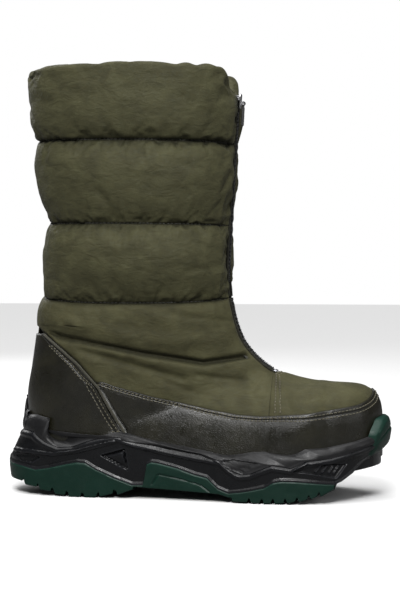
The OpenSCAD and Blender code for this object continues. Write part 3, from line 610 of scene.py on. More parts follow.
def swell(outer, inner, free):
    """Blows up the free points of a pad with cloth pressure and returns its outer grid."""
    points, faces = sheet(outer, inner)
    mesh = bpy.data.meshes.new("pad")
    mesh.from_pydata((points * MM).tolist(), [], faces)
    bm = bmesh.new()
    bm.from_mesh(mesh)
    bmesh.ops.recalc_face_normals(bm, faces=bm.faces)
    bm.to_mesh(mesh)
    bm.free()
    pad = bpy.data.objects.new("pad", mesh)
    bpy.context.scene.collection.objects.link(pad)
    sewn = pad.vertex_groups.new(name="sewn")
    loose = free.ravel()
    held = [i for i in range(len(points)) if i >= loose.size or not loose[i]]
    sewn.add(held, 1.0, "REPLACE")
    cloth = pad.modifiers.new("swell", "CLOTH")
    rules = cloth.settings
    rules.quality = 5
    rules.mass = 0.3
    rules.use_pressure = True
    rules.uniform_pressure_force = CLOTH_PRESSURE
    rules.vertex_group_mass = "sewn"
    rules.shrink_min = CLOTH_SLACK
    rules.bending_stiffness = CLOTH_BENDING
    rules.effector_weights.gravity = 0
    cloth.point_cache.frame_start = 1
    cloth.point_cache.frame_end = CLOTH_FRAMES
    scene = bpy.context.scene
    for number in range(1, CLOTH_FRAMES + 1):
        scene.frame_set(number)
    evaluated = pad.evaluated_get(bpy.context.evaluated_depsgraph_get())
    moved = np.zeros(len(points) * 3)
    evaluated.data.vertices.foreach_get("co", moved)
    moved = moved.reshape(-1, 3)[: outer.size // 3].reshape(outer.shape) / MM
    scene.frame_set(1)
    bpy.data.objects.remove(pad)
    shift = moved - outer
    far = np.linalg.norm(shift, axis=-1, keepdims=True)
    return outer + shift * SWELL_CAP * np.tanh(far / SWELL_CAP) / np.maximum(far, 1e-9)


# ---------------------------------------------------------------- quilted tiers
SEAM_DEPTH = 2.8
PUFF = 4.5
PAD_DEPTH = 8.5
ZIP_EDGE = 7
BACK_EDGE = 0.7
HALF_GIRTH = 195
TIER_ROWS, TIER_COLUMNS, TIER_SPLITS = 23, 76, 2
RIB_STEP = RIBS[0][1] - RIBS[1][1]
# How far each quilting seam lies off its rib, in ribs: in front, in the middle and behind.
SEAM_SAG = {1: (0.09, 0.04, -0.03), 2: (0.06, 0.01, -0.015), 3: (-0.01, 0.16, -0.085)}


def seam_rib(seam, p):
    front, middle, behind = SEAM_SAG[seam]
    return 2 * seam + front * (1 - p) * (1 - 2 * p) + 4 * middle * p * (1 - p) + behind * p * (2 * p - 1)


def top_edge_rib(p, side):
    """Rib of the collar's crest: level, a little wavy, and cut down to the zip in front."""
    drop = 22 * smooth(0.5 + (0.125 - p) / 0.2) ** 1.15
    wave = 0.9 * line_noise(p * 100 + side * 50, 9, 3) + 0.8 * line_noise(p * 100, 4, 5)
    return (0.6 + drop + (0.9 + wave) * smooth((p - 0.1) / 0.1) * smooth((1.02 - p) / 0.1)) / RIB_STEP


def column_places(rib, side, count):
    p0, p1 = place_in_front(rib, ZIP_EDGE, side), place_behind(rib, BACK_EDGE, side)
    return p0, p1, even_shares(rib, side, p0, p1, count)


def puff_profile(f):
    """Section of a quilted tier from seam to seam, fullest a little above its middle."""
    return np.maximum(np.sin(np.pi * np.clip(f, 0, 1) ** 0.8), 0) ** 0.64


def tier_grids(tier, side):
    """Outer grid, inner grid and the rows' shares of a tier's height."""
    p0, p1, shares = column_places(2 * tier - 1, side, TIER_COLUMNS)
    p = mix(p0, p1, shares)[None, :]
    across, down = np.linspace(0, 1, TIER_COLUMNS), np.linspace(0, 1, TIER_ROWS)[:, None]
    taper = smooth(across * HALF_GIRTH / 15)[None, :]
    pinch = (0.78 * (1 - smooth((1 - across) * HALF_GIRTH / 7)))[None, :]
    if tier == 1:
        return top_grids(p, side, taper, pinch)
    f = mix(down, 0.5 - 0.5 * np.cos(np.pi * down), 0.6)
    v = mix(seam_rib(tier - 1, p), seam_rib(tier, p), f)
    full = puff_profile(f)
    outer_d = mix(SEAM_DEPTH, -PUFF, full)
    inner_d = mix(SEAM_DEPTH + 1.6, PAD_DEPTH, full) + 0 * p
    outer_d = mix(np.minimum(outer_d, 1.0) * 0.12 + 0.2, outer_d, taper ** 0.6)
    outer_d = mix(outer_d, 0.9, pinch)
    inner_d = mix(outer_d + 1.1, inner_d, taper)
    return upper(v, p, side, outer_d), upper(v, p, side, inner_d), f[:, 0]


def top_grids(p, side, taper, pinch):
    """The top tier rolls over the collar and is sewn to the fleece inside."""
    hem_rows, roll_rows, face_rows = 5, 11, 22
    shoulder, hem, swell_in, swell_out = 8.0, 17.0, 12.2, -2.8
    crest = top_edge_rib(p, side)
    a = np.linspace(0, 1, hem_rows, endpoint=False)[:, None]
    b = np.linspace(0, 1, roll_rows, endpoint=False)[:, None]
    c = (np.linspace(0, 1, face_rows) ** 0.94)[:, None]
    turn = np.pi * b
    middle, radius = (swell_in + swell_out) / 2, (swell_in - swell_out) / 2
    drop = [mix(hem, shoulder, a), shoulder * (1 - np.sin(turn) ** 0.9)]
    v = [crest + drop[0] / RIB_STEP, crest + drop[1] / RIB_STEP,
         mix(crest + shoulder / RIB_STEP, seam_rib(1, p), c)]
    face = mix(SEAM_DEPTH, swell_out - 1.6 * np.sin(np.pi * c), np.maximum(1 - c ** 8, 0) ** 0.5)
    outer_d = [mix(10.2, swell_in, np.sin(a * np.pi / 2)), middle + radius * np.cos(turn), face]
    core_v = [v[0], crest + (shoulder - 3 * np.sin(turn)) / RIB_STEP, v[2]]
    core_d = [9.4 + 0 * a, middle + 2.6 * np.cos(turn), mix(middle - 2.6, SEAM_DEPTH + 1.6, c)]
    v, core_v = np.concatenate(v), np.concatenate([x + 0 * p for x in core_v])
    outer_d, core_d = np.concatenate(outer_d) + 0 * p, np.concatenate(core_d) + 0 * p
    thin = mix(0.35, 1, taper)
    outer_d = mix(0.2 + 0.2 * outer_d, outer_d, thin * taper)
    outer_d = np.concatenate([outer_d[:hem_rows + roll_rows],
                              mix(outer_d[hem_rows + roll_rows:], 0.9, pinch)])
    core_d = mix(outer_d + 1.0 * np.sign(core_d - outer_d), core_d, taper)
    f = np.concatenate([0 * a[:, 0] - 1, b[:, 0] - 1, c[:, 0]])
    return upper(v, p, side, outer_d), upper(core_v, p, side, core_d), f


def crease(points, path, width, depth):
    """Inward shift of points near a side-view line, in millimetres."""
    return -depth * np.exp(-((distance_to_line(points[..., [0, 2]], path) / width) ** 2))


SEAM_PUCKER, EDGE_PUCKER, CRUMPLE = 0.5, 0.9, 0.55


def fabric_detail(grid, inner, f, seed):
    """Small puckers along the seams and the zip edge, and loose crumples between them."""
    n = grid_normals(grid, inner)
    arc = arc_lengths(grid)
    arc = arc.mean(axis=0)[None, :] + 0 * arc
    rise = grid[..., 2]
    tall = max(np.ptp(rise[:, grid.shape[1] // 2]), 1)
    f = np.clip(f, 0, 1)
    edge = np.minimum(f, 1 - f)[:, None] * tall
    near_seam = np.exp(-edge / 6.5)
    slant = arc + 0.25 * rise
    gather = line_noise(slant, 3.4, seed) * 0.7 + line_noise(arc - 0.2 * rise, 6.5, seed + 1)
    near_zip = np.exp(-arc / 13)
    rays = line_noise(rise + 0.12 * arc, 5.5, seed + 2) + 0.5 * line_noise(rise - 0.2 * arc, 3, seed + 3)
    free = smooth(edge / 5)
    loose = 0.9 * value_noise(grid * [1, 1, 1.5], 17, seed + 4)
    loose = loose + 0.45 * value_noise(grid * [1, 1, 1.4], 8, seed + 5)
    loose += 0.16 * value_noise(grid, 3.6, seed + 6)
    shift = SEAM_PUCKER * near_seam * gather * smooth(edge / 1.2)
    shift += EDGE_PUCKER * near_zip * rays * free + CRUMPLE * loose * free
    return n, shift


# Creases of each tier: a side-view line, its width and its depth.
TIER_CREASES = {
    (2, LATERAL): [([(9, 229), (16, 219), (25, 207)], 3.0, 1.3), ([(-40, 250), (-12, 246)], 3.5, 0.7),
                   ([(60, 252), (84, 246)], 3.0, 0.6)],
    (3, LATERAL): [([(70, 196), (98, 184)], 2.6, 0.9), ([(74, 170), (99, 174)], 2.4, 0.9),
                   ([(-40, 165), (-20, 160)], 3.0, 0.7)],
    (1, LATERAL): [([(-46, 300), (-20, 294)], 3.5, 0.6), ([(70, 300), (92, 286)], 3, 0.6)],
    (1, MEDIAL): [([(0, 306), (30, 298)], 3.5, 0.8), ([(60, 290), (90, 284)], 3, 0.7)],
    (2, MEDIAL): [([(-30, 232), (4, 224)], 3.2, 0.9), ([(58, 250), (90, 240)], 3, 0.8)],
    (3, MEDIAL): [([(10, 180), (50, 172)], 3.2, 0.9), ([(-34, 190), (-12, 182)], 3, 0.7)],
}
TIER_NODES = {1: "top_tier", 2: "middle_tier", 3: "low_tier"}


def quilted_tier(tier, side):
    """One padded tier of one half of the shaft, swollen as cloth and then creased."""
    outer, inner, f = tier_grids(tier, side)
    free = np.zeros(outer.shape[:2], bool)
    free[1:-1, 1:-1] = True
    if tier == 1:
        free[:6] = False
    outer = swell(outer, inner, free)
    outer, inner = refine(outer, TIER_SPLITS), refine(inner, TIER_SPLITS)
    f = np.interp(np.linspace(0, len(f) - 1, len(outer)), np.arange(len(f)), f)
    n, shift = fabric_detail(outer, inner, f, seed=10 * tier + side)
    for path, width, depth in TIER_CREASES[tier, side]:
        shift = shift + crease(outer, path, width, depth) * smooth(np.minimum(f, 1 - f) * 12)[:, None]
    outer = outer + n * shift[..., None]
    name = TIER_NODES[tier] + "_" + SIDE_NAME[side]
    piece = make_piece("quilted_" + name, sheet(outer, inner), OLIVE_NYLON, "quilted_nylon")
    nodes = [name]
    if tier == 1:
        nodes += ["collar_" + SIDE_NAME[side], "shaft_wadding_" + SIDE_NAME[side]]
    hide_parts(*nodes)
    return ride_flap(piece)


for side in SIDES:
    for tier in (1, 2, 3):
        quilted_tier(tier, side)


# ---------------------------------------------------------------- panels of the foot
def rounded(distance, radius):
    """Quarter-round profile: 0 at the edge, 1 from radius inwards."""
    t = np.clip(distance / radius, 0, 1)
    return np.sqrt(np.maximum(1 - (1 - t) ** 2, 0))


# Folds over the ankle: a side-view line, its width and its depth, negative where the cloth stands out.
ANKLE_FOLDS = {
    LATERAL: [([(-30, 121), (10, 114), (41, 108), (84, 101), (116, 106)], 2.2, 4.2),
              ([(-14, 129), (24, 121), (60, 116), (100, 121)], 7.0, -2.0),
              ([(-8, 110), (30, 100), (69, 89.4)], 2.8, 1.9), ([(10, 112), (50, 102), (88, 95)], 5.0, -1.4),
              ([(80, 92), (118, 87)], 2.2, 1.1), ([(50, 90), (74, 80)], 3.0, 0.9),
              ([(60, 138), (104, 132)], 2.4, 0.9), ([(-36, 140), (-6, 134)], 2.8, 0.8)],
    MEDIAL: [([(-26, 122), (20, 112), (60, 104), (110, 108)], 2.5, 2.8),
             ([(-10, 130), (40, 120), (96, 122)], 7.0, -1.5), ([(0, 106), (40, 96), (72, 88)], 2.8, 1.5),
             ([(78, 93), (116, 88)], 2.4, 1.0), ([(50, 138), (100, 134)], 2.6, 0.8)],
}
VAMP_SEAM_X = 134.5
LAST_VAMP_RIB = 16.5


def vamp_seam_rib(place):
    """Rib at which the seam between quarter and vamp crosses, for a place given as a function of the rib."""
    low, high = VAMP_RIB + 0 * place(VAMP_RIB), LAST_VAMP_RIB + 0 * place(VAMP_RIB)
    for _ in range(30):
        v = (low + high) / 2
        ahead = upper(v, place(v), LATERAL, 0)[..., 0] > VAMP_SEAM_X
        low, high = np.where(ahead, low, v), np.where(ahead, v, high)
    return low


def quarter(side):
    """Soft panel over the ankle, from the lowest quilting seam to the leather and the vamp."""
    rows, columns = 84, 120
    a, b = np.linspace(0, 1, rows)[:, None], np.linspace(0, 1, columns)[None, :]
    seam_p = mix(place_in_front(6, ZIP_EDGE, side), place_behind(6, BACK_EDGE, side), b)

    def place(v):
        last = np.minimum(rand_place(v), piped_place(v)) + 0.02
        return mix(place_in_front(v, ZIP_EDGE, side), np.minimum(last, place_behind(v, 0.4, side)), b)

    v = mix(seam_rib(3, seam_p), vamp_seam_rib(place) + 0.06, a)
    p = place(v)
    flat = upper(v, p, side, 0)
    below = np.linalg.norm(flat - flat[:1], axis=-1)
    above_vamp = np.linalg.norm(flat - flat[-1:], axis=-1)
    arc = arc_lengths(flat)
    to_edge = arc[:, -1:] - arc
    loose = smooth(to_edge / 9) * smooth(above_vamp / 7) * smooth(arc / 7)
    d = mix(SEAM_DEPTH, mix(-2.6, -1.2, smooth((below - 10) / 25)), rounded(below, 13) ** 1.1)
    d = mix(0.1, d, loose)
    under = upper(v, p, side, mix(d + 1, 3.2, loose))
    outer = upper(v, p, side, d)
    n = grid_normals(outer, upper(v, p, side, 6))
    shift = 0.6 * np.exp(-below / 8) * smooth(below / 1.5) * line_noise(arc, 4.2, 61 + side)
    shift = shift + 0.8 * np.exp(-arc / 12) * line_noise(outer[..., 2] + 0.2 * arc, 5, 63 + side)
    shift = shift + 0.8 * value_noise(outer * [1, 1, 1.7], 19, 65 + side) + 0.3 * value_noise(outer, 8, 67)
    for path, width, depth in ANKLE_FOLDS[side]:
        shift = shift + crease(outer, path, width, depth)
    outer = outer + n * (shift * loose)[..., None]
    name = "quarter_" + SIDE_NAME[side]
    piece = make_piece("soft_" + name, sheet(outer, under), VAMP_NYLON, "quilted_nylon")
    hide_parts(name)
    ride_ankle(piece)


def foot_grid(rows, columns):
    """Rib numbers, places and sides over the foot, from the lateral edge to the medial edge."""
    v = np.linspace(12, TOE_RIB, rows)[:, None]
    q = np.linspace(-1, 1, columns)[None, :]
    return v + 0 * q, np.abs(q) * (0.99 + 0 * v), np.where(q < 0, LATERAL, MEDIAL) + 0 * v


def toe_closed(shape, rows, columns):
    """Drops the faces at the last row, where the two sides are sewn to each other."""
    points, faces = shape
    last, size = (rows - 1) * columns, rows * columns
    return points, [face for face in faces if not all(i % size >= last for i in face)]


def vamp():
    """Soft panel over the toes, from the quarters' seam to the rand."""
    rows, columns = 96, 121
    q = np.linspace(-1, 1, columns)[None, :]
    first = vamp_seam_rib(lambda v: np.abs(q) * (rand_place(v + 0 * q) + 0.02))
    v = mix(first, TOE_RIB, np.linspace(0, 1, rows)[:, None])
    p, side = np.abs(q) * (rand_place(v) + 0.02), np.where(q < 0, LATERAL, MEDIAL) + 0 * v
    flat = upper(v, p, side, 0)
    from_rear = np.linalg.norm(flat - flat[:1], axis=-1)
    arc = arc_lengths(flat)
    to_edge = np.minimum(arc, arc[:, -1:] - arc)
    loose = smooth(to_edge / 9) * smooth(from_rear / 5) * smooth((TOE_RIB - v) / 0.9)
    d = mix(-0.45, -1.3, loose)
    outer, under = upper(v, p, side, d), upper(v, p, side, mix(d + 1, 3, loose))
    n = grid_normals(outer, upper(v, p, side, 8))
    shift = 0.5 * value_noise(outer, 21, 71) + 0.28 * value_noise(outer * [1, 0.6, 1], 9, 72)
    shift = shift + crease(outer, [(133, 91), (146, 80), (150, 68)], 3.0, 0.7)
    outer = outer + n * (shift * loose)[..., None]
    shape = toe_closed(sheet(outer, under), rows, columns)
    piece = make_piece("padded_vamp", shape, VAMP_NYLON, "quilted_nylon")
    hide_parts("vamp")
    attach(piece, "foot")


LEATHER_OUT, LEATHER_IN, HEM_Z = -1.5, -0.5, 31
# Distances from a leather panel's top edge, closer where the edge rounds over and where it is stitched.
EDGE_ROWS = np.array([0, 0.12, 0.35, 0.7, 1.1, 1.6, 2.4, 3.2, 3.8, 4.1, 4.4, 4.7, 5, 5.6, 6.6, 8, 10])
STITCH_ROWS = (3.0, 5.9)


def around_foot(v0, count):
    """Rib numbers and sides from the lateral side, round the toe, to the medial side."""
    v = mix(v0, TOE_RIB, np.linspace(0, 1, count))
    side = np.concatenate([np.full(count, LATERAL), np.full(count - 1, MEDIAL)])
    return np.concatenate([v, v[-2::-1]]), side


def leather_depth(distance, seed, points):
    """Rounded top edge, a sunk stitching groove and soft waves."""
    d = mix(LEATHER_IN, LEATHER_OUT, rounded(distance, 1.1))
    d = d + 0.5 * np.exp(-(((distance - 4.4) / 0.5) ** 2))
    return d - 0.4 * smooth((distance - 5) / 6) * (0.6 + value_noise(points, 24, seed))


def hem_place(v):
    return place_at_height(v, HEM_Z)


def leather_panel(v, first, last, side, seed):
    """Outer and inner grid of a leather panel from its stitched edge at place first down to place last."""
    v, side = v[:, None], np.asarray(side)[..., None]
    rest = np.linspace(0, 1, 26)[None, 1:]
    near = along_surface(v, first[:, None], side, EDGE_ROWS[None, :])
    near = np.minimum(near, last[:, None])
    p = np.concatenate([near, mix(near[:, -1:], last[:, None], rest)], axis=1)
    flat = upper(v, p, side, 0)
    beyond = EDGE_ROWS[-1] + arc_lengths(flat[:, len(EDGE_ROWS) - 1:])[:, 1:]
    distance = np.concatenate([EDGE_ROWS[None, :] + 0 * v, beyond], axis=1)
    return upper(v, p, side, leather_depth(distance, seed, flat)), upper(v, p, side, LEATHER_IN + 0.6)


def rand():
    """Leather strip round the foot, with two rows of stitches along its top edge."""
    v, side = around_foot(9.05, 110)
    last = np.where(v > TRIM_RIB, hem_place(v), piped_place(v) - 0.006)
    outer, inner = leather_panel(v, rand_place(v), last, side, 81)
    piece = make_piece("leather_rand", sheet(outer, inner), RAND_LEATHER, "coated_leather")
    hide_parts("rand")
    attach(piece, "foot")
    rows = []
    v, side = around_foot(9.1, 240)
    for distance in STITCH_ROWS:
        p = along_surface(v, rand_place(v), side, distance)
        rows.append(stitches(*seam_path(v, p, side, LEATHER_OUT - 0.1)))
    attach(make_piece("rand_stitching", joined(rows), THREAD, "piping_cord"), "foot")


def heel_counter():
    """Leather counter in two halves, with its piping, edge stitches and back seam."""
    halves, rows, cords = [], [], []
    for side in SIDES:
        v = np.linspace(7.02, 12.7, 70)
        last = np.where(v < RIM_RIB, place_behind(v, 0.15, side), hem_place(v))
        halves.append(sheet(*leather_panel(v, piped_place(v) + 0.004, last, side, 83 + side)))
        fine = np.linspace(7.4, 12.3, 300)
        for distance in STITCH_ROWS:
            p = along_surface(fine, piped_place(fine), side, distance + 1)
            rows.append(stitches(*seam_path(fine, p, side, LEATHER_OUT - 0.1)))
        back = np.linspace(7.4, 10.2, 120)
        rows.append(stitches(*seam_path(back, place_behind(back, 2.6, side), side, LEATHER_OUT - 0.1)))
        cord = np.linspace(7.05, 12.2, 140)
        cords.append(tube(upper(cord, piped_place(cord), side, LEATHER_OUT - 0.3), 1.0, 10))
    piece = make_piece("leather_heel_counter", joined(halves), RAND_LEATHER, "coated_leather")
    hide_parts("heel_counter")
    ride_ankle(piece)
    piece = make_piece("counter_cord", joined(cords), CORD, "piping_cord")
    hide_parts("counter_piping")
    ride_ankle(piece)
    ride_ankle(make_piece("counter_stitching", joined(rows), THREAD, "piping_cord"))


def vamp_stitching():
    """Two rows of stitches beside the seam between quarters and vamp."""
    rows = []
    q = np.linspace(0, 1, 160)
    first = vamp_seam_rib(lambda v: q * rand_place(v + 0 * q))
    for step in (0.17, 0.45):
        for side in SIDES:
            v = first + step * mix(1, 0.6, q)
            rows.append(stitches(*seam_path(v, q * (rand_place(v) - 0.01), side, -0.95), radius=0.42))
    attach(make_piece("vamp_stitching", joined(rows), THREAD, "piping_cord"), "foot")


def tier_stitching(side):
    """Short dark stitches sunk in the quilting seams."""
    rows = []
    for seam in (1, 2, 3):
        p0, p1, _ = column_places(2 * seam, side, 2)
        p = np.linspace(p0 + 0.02, p1 - 0.01, 300)
        rows.append(stitches(*seam_path(seam_rib(seam, p), p, side, SEAM_DEPTH - 0.35), radius=0.3))
    name = "seam_stitching_" + SIDE_NAME[side]
    ride_flap(make_piece(name, joined(rows), DARK_THREAD, "quilted_nylon"))


# ---------------------------------------------------------------- linings and padding
def soft_layer(name, v, p, side, d_out, d_in, material, slot, crumple, nodes, toe=False):
    """A padded or brushed layer between two depths, its faces gently uneven."""
    flat = upper(v, p, side, d_out)
    rough = crumple * value_noise(flat, 11, len(name)) * (smooth((TOE_RIB - v) / 0.9) if toe else 1)
    shape = sheet(upper(v, p, side, d_out + 0.5 * np.abs(rough)), upper(v, p, side, d_in + rough))
    if toe:
        shape = toe_closed(shape, *flat.shape[:2])
    piece = make_piece(name, shape, material, slot)
    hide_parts(*nodes)
    return piece


# Layers inside foot and ankle: name, outer depth, inner depth, material, slot and crumple.
INSIDE_LAYERS = (("wadding", 3.6, 6.2, WADDING, "polyester_wadding", 0.3),
                 ("lining", 6.6, 7.6, FLEECE, "fleece", 0.3))


def linings():
    """Fleece in the shaft, and wadding and fleece in the ankle and the foot."""
    for side in SIDES:
        word = SIDE_NAME[side]
        b = np.linspace(0, 1, 44)[None, :]
        p = mix(place_in_front(1, 12.7, side), place_behind(1, BACK_EDGE, side), b)
        v = mix(top_edge_rib(p, side) + 16 / RIB_STEP, 5.96, np.linspace(0, 1, 40)[:, None])
        ride_flap(soft_layer("fleece_shaft_" + word, v, p + 0 * v, side, 9.0, 10.0, FLEECE, "fleece", 0.5,
                             ["shaft_lining_" + word]))
        v = np.linspace(6.04, 11.95, 36)[:, None]
        p = mix(place_in_front(v, 4, side), np.minimum(place_behind(v, 0.4, side), place_at_height(v, 37)), b)
        for layer, *made in INSIDE_LAYERS:
            node = "ankle_" + layer + "_" + word
            ride_ankle(soft_layer("soft_" + node, v + 0 * p, p, side, *made, [node]))
    v, p, side = foot_grid(44, 61)
    for layer, *made in INSIDE_LAYERS:
        node = "foot_" + layer
        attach(soft_layer("soft_" + node, v, p, side, *made, [node], toe=True), "foot")


def middle_grid(v, reach, columns, d, behind=False):
    """Grid over the middle line from y = -reach to reach, in front or behind."""
    v = np.asarray(v)[:, None]
    rows = []
    for side in SIDES:
        y = np.abs(np.linspace(-reach, reach, columns)[None, :])
        place = place_behind(v, y, side) if behind else place_in_front(v, y, side)
        rows.append(upper(v, place, side, d))
    y = np.linspace(-reach, reach, columns)
    return np.where((y < 0)[None, :, None], rows[0], rows[1])


def front_layers():
    """Crumpled nylon behind the zip: the gusset low down, and the draught flap up the shaft."""
    rows, columns = 60, 33
    v = np.linspace(6.04, 11.95, rows)
    folds = 0.5 * line_noise(v * 30, 9, 91)[:, None]
    folds = folds + 0.3 * line_noise(np.linspace(0, 60, columns), 7, 92)[None, :]

    def layer(name, node, v, reach, depth):
        outer = middle_grid(v, reach, columns, depth + 0.3 * folds)
        inner = middle_grid(v, reach, columns, depth + 1 + folds)
        piece = make_piece(name, sheet(outer, inner), PLAIN_NYLON, "plain_nylon")
        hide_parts(node)
        return piece

    ride_ankle(layer("zip_gusset", "gusset", v, 16, 8.8))
    ride_flap(layer("zip_draught_flap", "zip_facing", np.linspace(1.1, 5.96, rows), 15.2, 10.6))


def back_depth(v):
    """Depth of the back strip, sunk at each quilting seam."""
    return mix(0.4, -1.6, np.abs(np.sin(np.pi * v / 2)) ** 0.6)


def strip_sheet(v, reach, d):
    """A strip up the middle of the back, its edges turned in."""
    columns = 21
    y = np.linspace(-1, 1, columns)[None, :]
    outer = middle_grid(v, reach, columns, d[:, None] + 0.9 * y**4, behind=True)
    return sheet(outer, middle_grid(v, reach, columns, d[:, None] + 2.2, behind=True))


def back_strip():
    """Strips over the back seam of the shaft and of the ankle, with stitches beside the seam."""
    v = np.linspace(0.35, 5.96, 150)
    shape = strip_sheet(v, 3.6, back_depth(v))
    piece = make_piece("back_seam_strip", shape, OLIVE_NYLON, "quilted_nylon")
    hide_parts("back_stay")
    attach(piece, "shaft")
    v = np.linspace(6.0, 7.5, 40)
    shape = strip_sheet(v, 4.6, mix(1.4, -1.1, rounded(v - 6, 0.5)))
    ride_ankle(make_piece("ankle_seam_strip", shape, VAMP_NYLON, "quilted_nylon"))
    rows = []
    fine = np.linspace(0.5, 5.9, 300)
    for side in SIDES:
        path, normal = seam_path(fine, place_behind(fine, 2.4, side), side, back_depth(fine) - 0.05)
        rows.append(stitches(path, normal))
    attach(make_piece("back_seam_stitching", joined(rows), DARK_THREAD, "quilted_nylon"), "shaft")


for side in SIDES:
    quarter(side)
    tier_stitching(side)
vamp()
rand()
heel_counter()
vamp_stitching()
linings()
front_layers()
back_strip()


# ---------------------------------------------------------------- zip
ZIP_X, ZIP_TOP, TAPE_OUT = 106.79, 300, 1.4
ZIP_LEAN = math.atan2(8.7, 150)
TEETH_LOW, TEETH_HIGH, TOOTH_PITCH = -145, -8, 3.0
PIN_OUT, PIN_Z = 5.6, -1.5


def on_zip(points):
    """From the zip's own frame to the boot's: out of the boot, across and up the zip, from the closed slider."""
    points = np.asarray(points, float)
    c, s = math.cos(ZIP_LEAN), math.sin(ZIP_LEAN)
    x = points[..., 0] * c + points[..., 2] * s + ZIP_X - TAPE_OUT
    z = -points[..., 0] * s + points[..., 2] * c + ZIP_TOP
    return np.stack([x, points[..., 1], z], -1)


def block(low, high, edge):
    """A box with its edges bevelled, in the zip's own frame."""
    low, high = np.array(low, float), np.array(high, float)
    loops = []
    for z, inset in ((low[2], edge), (low[2] + edge, 0), (high[2] - edge, 0), (high[2], edge)):
        x0, y0, x1, y1 = low[0] + inset, low[1] + inset, high[0] - inset, high[1] - inset
        c = edge
        loops.append([(x0, y0 + c, z), (x0 + c, y0, z), (x1 - c, y0, z), (x1, y0 + c, z),
                      (x1, y1 - c, z), (x1 - c, y1, z), (x0 + c, y1, z), (x0, y1 - c, z)])
    points, faces = loft(np.array(loops))
    return on_zip(points), faces


def tape_sheet(v, side):
    """A ribbed zip tape along the upper, beside the middle line."""
    v, y = v[:, None], np.linspace(1.7, 12.2, 15)[None, :]
    p = place_in_front(v, y, side)
    return sheet(upper(v, p, side, 1.4 - 0.14 * np.cos(y * 2.6)), upper(v, p, side, 2.1))


def zip_half(side):
    """Tape, teeth and edge binding of one side of the shaft's zip."""
    word = SIDE_NAME[side]
    tape = tape_sheet(np.linspace(0.86, 5.96, 120), side)
    piece = make_piece("woven_zip_tape_" + word, tape, TAPE, "zip_tape")
    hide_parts("zip_tape_" + word)
    ride_flap(piece)
    near, far = (-2.3, 0.6) if side < 0 else (-0.6, 2.3)
    shift = 0 if side < 0 else TOOTH_PITCH / 2
    parts = [block((0.4, near, z), (2.4, far, z + 1.25), 0.28)
             for z in np.arange(TEETH_LOW + 0.2 + shift, TEETH_HIGH - 1.3, TOOTH_PITCH)]
    z = np.linspace(TEETH_LOW, TEETH_HIGH, 60)
    cord = on_zip(np.stack([0 * z + 0.75, 0 * z + side * 2.3, z], -1))
    parts.append(tube(cord, 0.55, 8))
    piece = make_piece("moulded_teeth_" + word, joined(parts), ZIP_PLASTIC, "zip_plastic", sharp=40)
    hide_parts("zip_teeth_" + word)
    ride_flap(piece)
    v = np.linspace(0.95, 5.97, 260)
    wave = 0.35 * line_noise(v * 30, 4, 95 + side)
    edge = upper(v, place_in_front(v, ZIP_EDGE - 0.6, side), side, 0.2 + wave)
    ride_flap(make_piece("zip_binding_" + word, tube(edge, 1.15, 10), PLAIN_NYLON, "plain_nylon"))


def lower_zip():
    """The closed run of the zip over the instep: tapes, bindings, teeth and end stop."""
    for side in SIDES:
        word = SIDE_NAME[side]
        tape = tape_sheet(np.linspace(6.04, 11.4, 90), side)
        piece = make_piece("woven_lower_tape_" + word, tape, TAPE, "zip_tape")
        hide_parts("lower_tape_" + word)
        ride_ankle(piece)
        v = np.linspace(6.02, 11.7, 200)
        edge = upper(v, place_in_front(v, ZIP_EDGE - 0.6, side), side, 0.2 + 0.3 * line_noise(v * 30, 4, 97))
        ride_ankle(make_piece("lower_binding_" + word, tube(edge, 1.15, 10), PLAIN_NYLON, "plain_nylon"))
    run = np.linspace(6.06, 11.25, 500)
    line = upper(run, 0, LATERAL, 0.0)
    length = run_along(line)
    parts = []
    for i, s in enumerate(np.arange(0.8, length[-1] - 0.8, TOOTH_PITCH / 2)):
        v = np.interp(s, length, run)
        here, ahead = upper(v, 0, LATERAL, 0.0), upper(v + 0.02, 0, LATERAL, 0.0)
        t = (ahead - here) / np.linalg.norm(ahead - here)
        out = np.cross(t, [0, 1, 0])
        out = out if out[0] > 0 else -out
        near, far = (-2.3, 0.6) if i % 2 else (-0.6, 2.3)
        corners = []
        for a, b in ((-0.55, 0.25), (-0.3, 0), (0.3, 0), (0.55, 0.25)):
            loop = [(-0.9, near + b), (0.7 - b, near + b), (1.0 - b, near + 0.5), (1.0 - b, far - 0.5),
                    (0.7 - b, far - b), (-0.9, far - b)]
            corners.append([here + t * a + out * o + np.array([0, 1, 0]) * y for o, y in loop])
        parts.append(loft(np.array(corners)))
    core = upper(np.linspace(6.06, 11.25, 90), 0, LATERAL, 0.9)
    parts.append(tube(core, 0.5, 8))
    piece = make_piece("moulded_lower_teeth", joined(parts), ZIP_PLASTIC, "zip_plastic", sharp=40)
    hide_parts("lower_zip_chain")
    ride_ankle(piece)
    v = np.linspace(11.28, 11.6, 12)
    y = np.linspace(-1, 1, 17)[None, :]
    curl = -1.2 + 1.4 * np.abs(y) ** 4 + 0.5 * (np.linspace(-1, 1, 12)[:, None]) ** 6
    piece = make_piece("end_stop", sheet(middle_grid(v, 3.2, 17, curl), middle_grid(v, 3.2, 17, 1.2)),
                       STEEL, "slider_metal", sharp=50)
    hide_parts("zip_end_stop")
    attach(piece, "foot")


def plate(out, thick):
    """One face of the slider: a shield wide at the top and waisted below."""
    z = np.array([-5.5, -5.2, -3, 0, 2, 4, 5.2, 5.5])
    half = np.array([2.6, 3.3, 3.7, 3.9, 4.3, 4.4, 3.9, 3.0])
    loops = []
    for level, inset in ((out, 0.3), (out + 0.25 * thick, 0), (out + 0.75 * thick, 0), (out + thick, 0.3)):
        left = [(level, -(h - inset), a) for h, a in zip(half, z)]
        right = [(level, h - inset, a) for h, a in zip(half[::-1], z[::-1])]
        loops.append(left + right)
    points, faces = loft(np.array(loops))
    return on_zip(points), faces


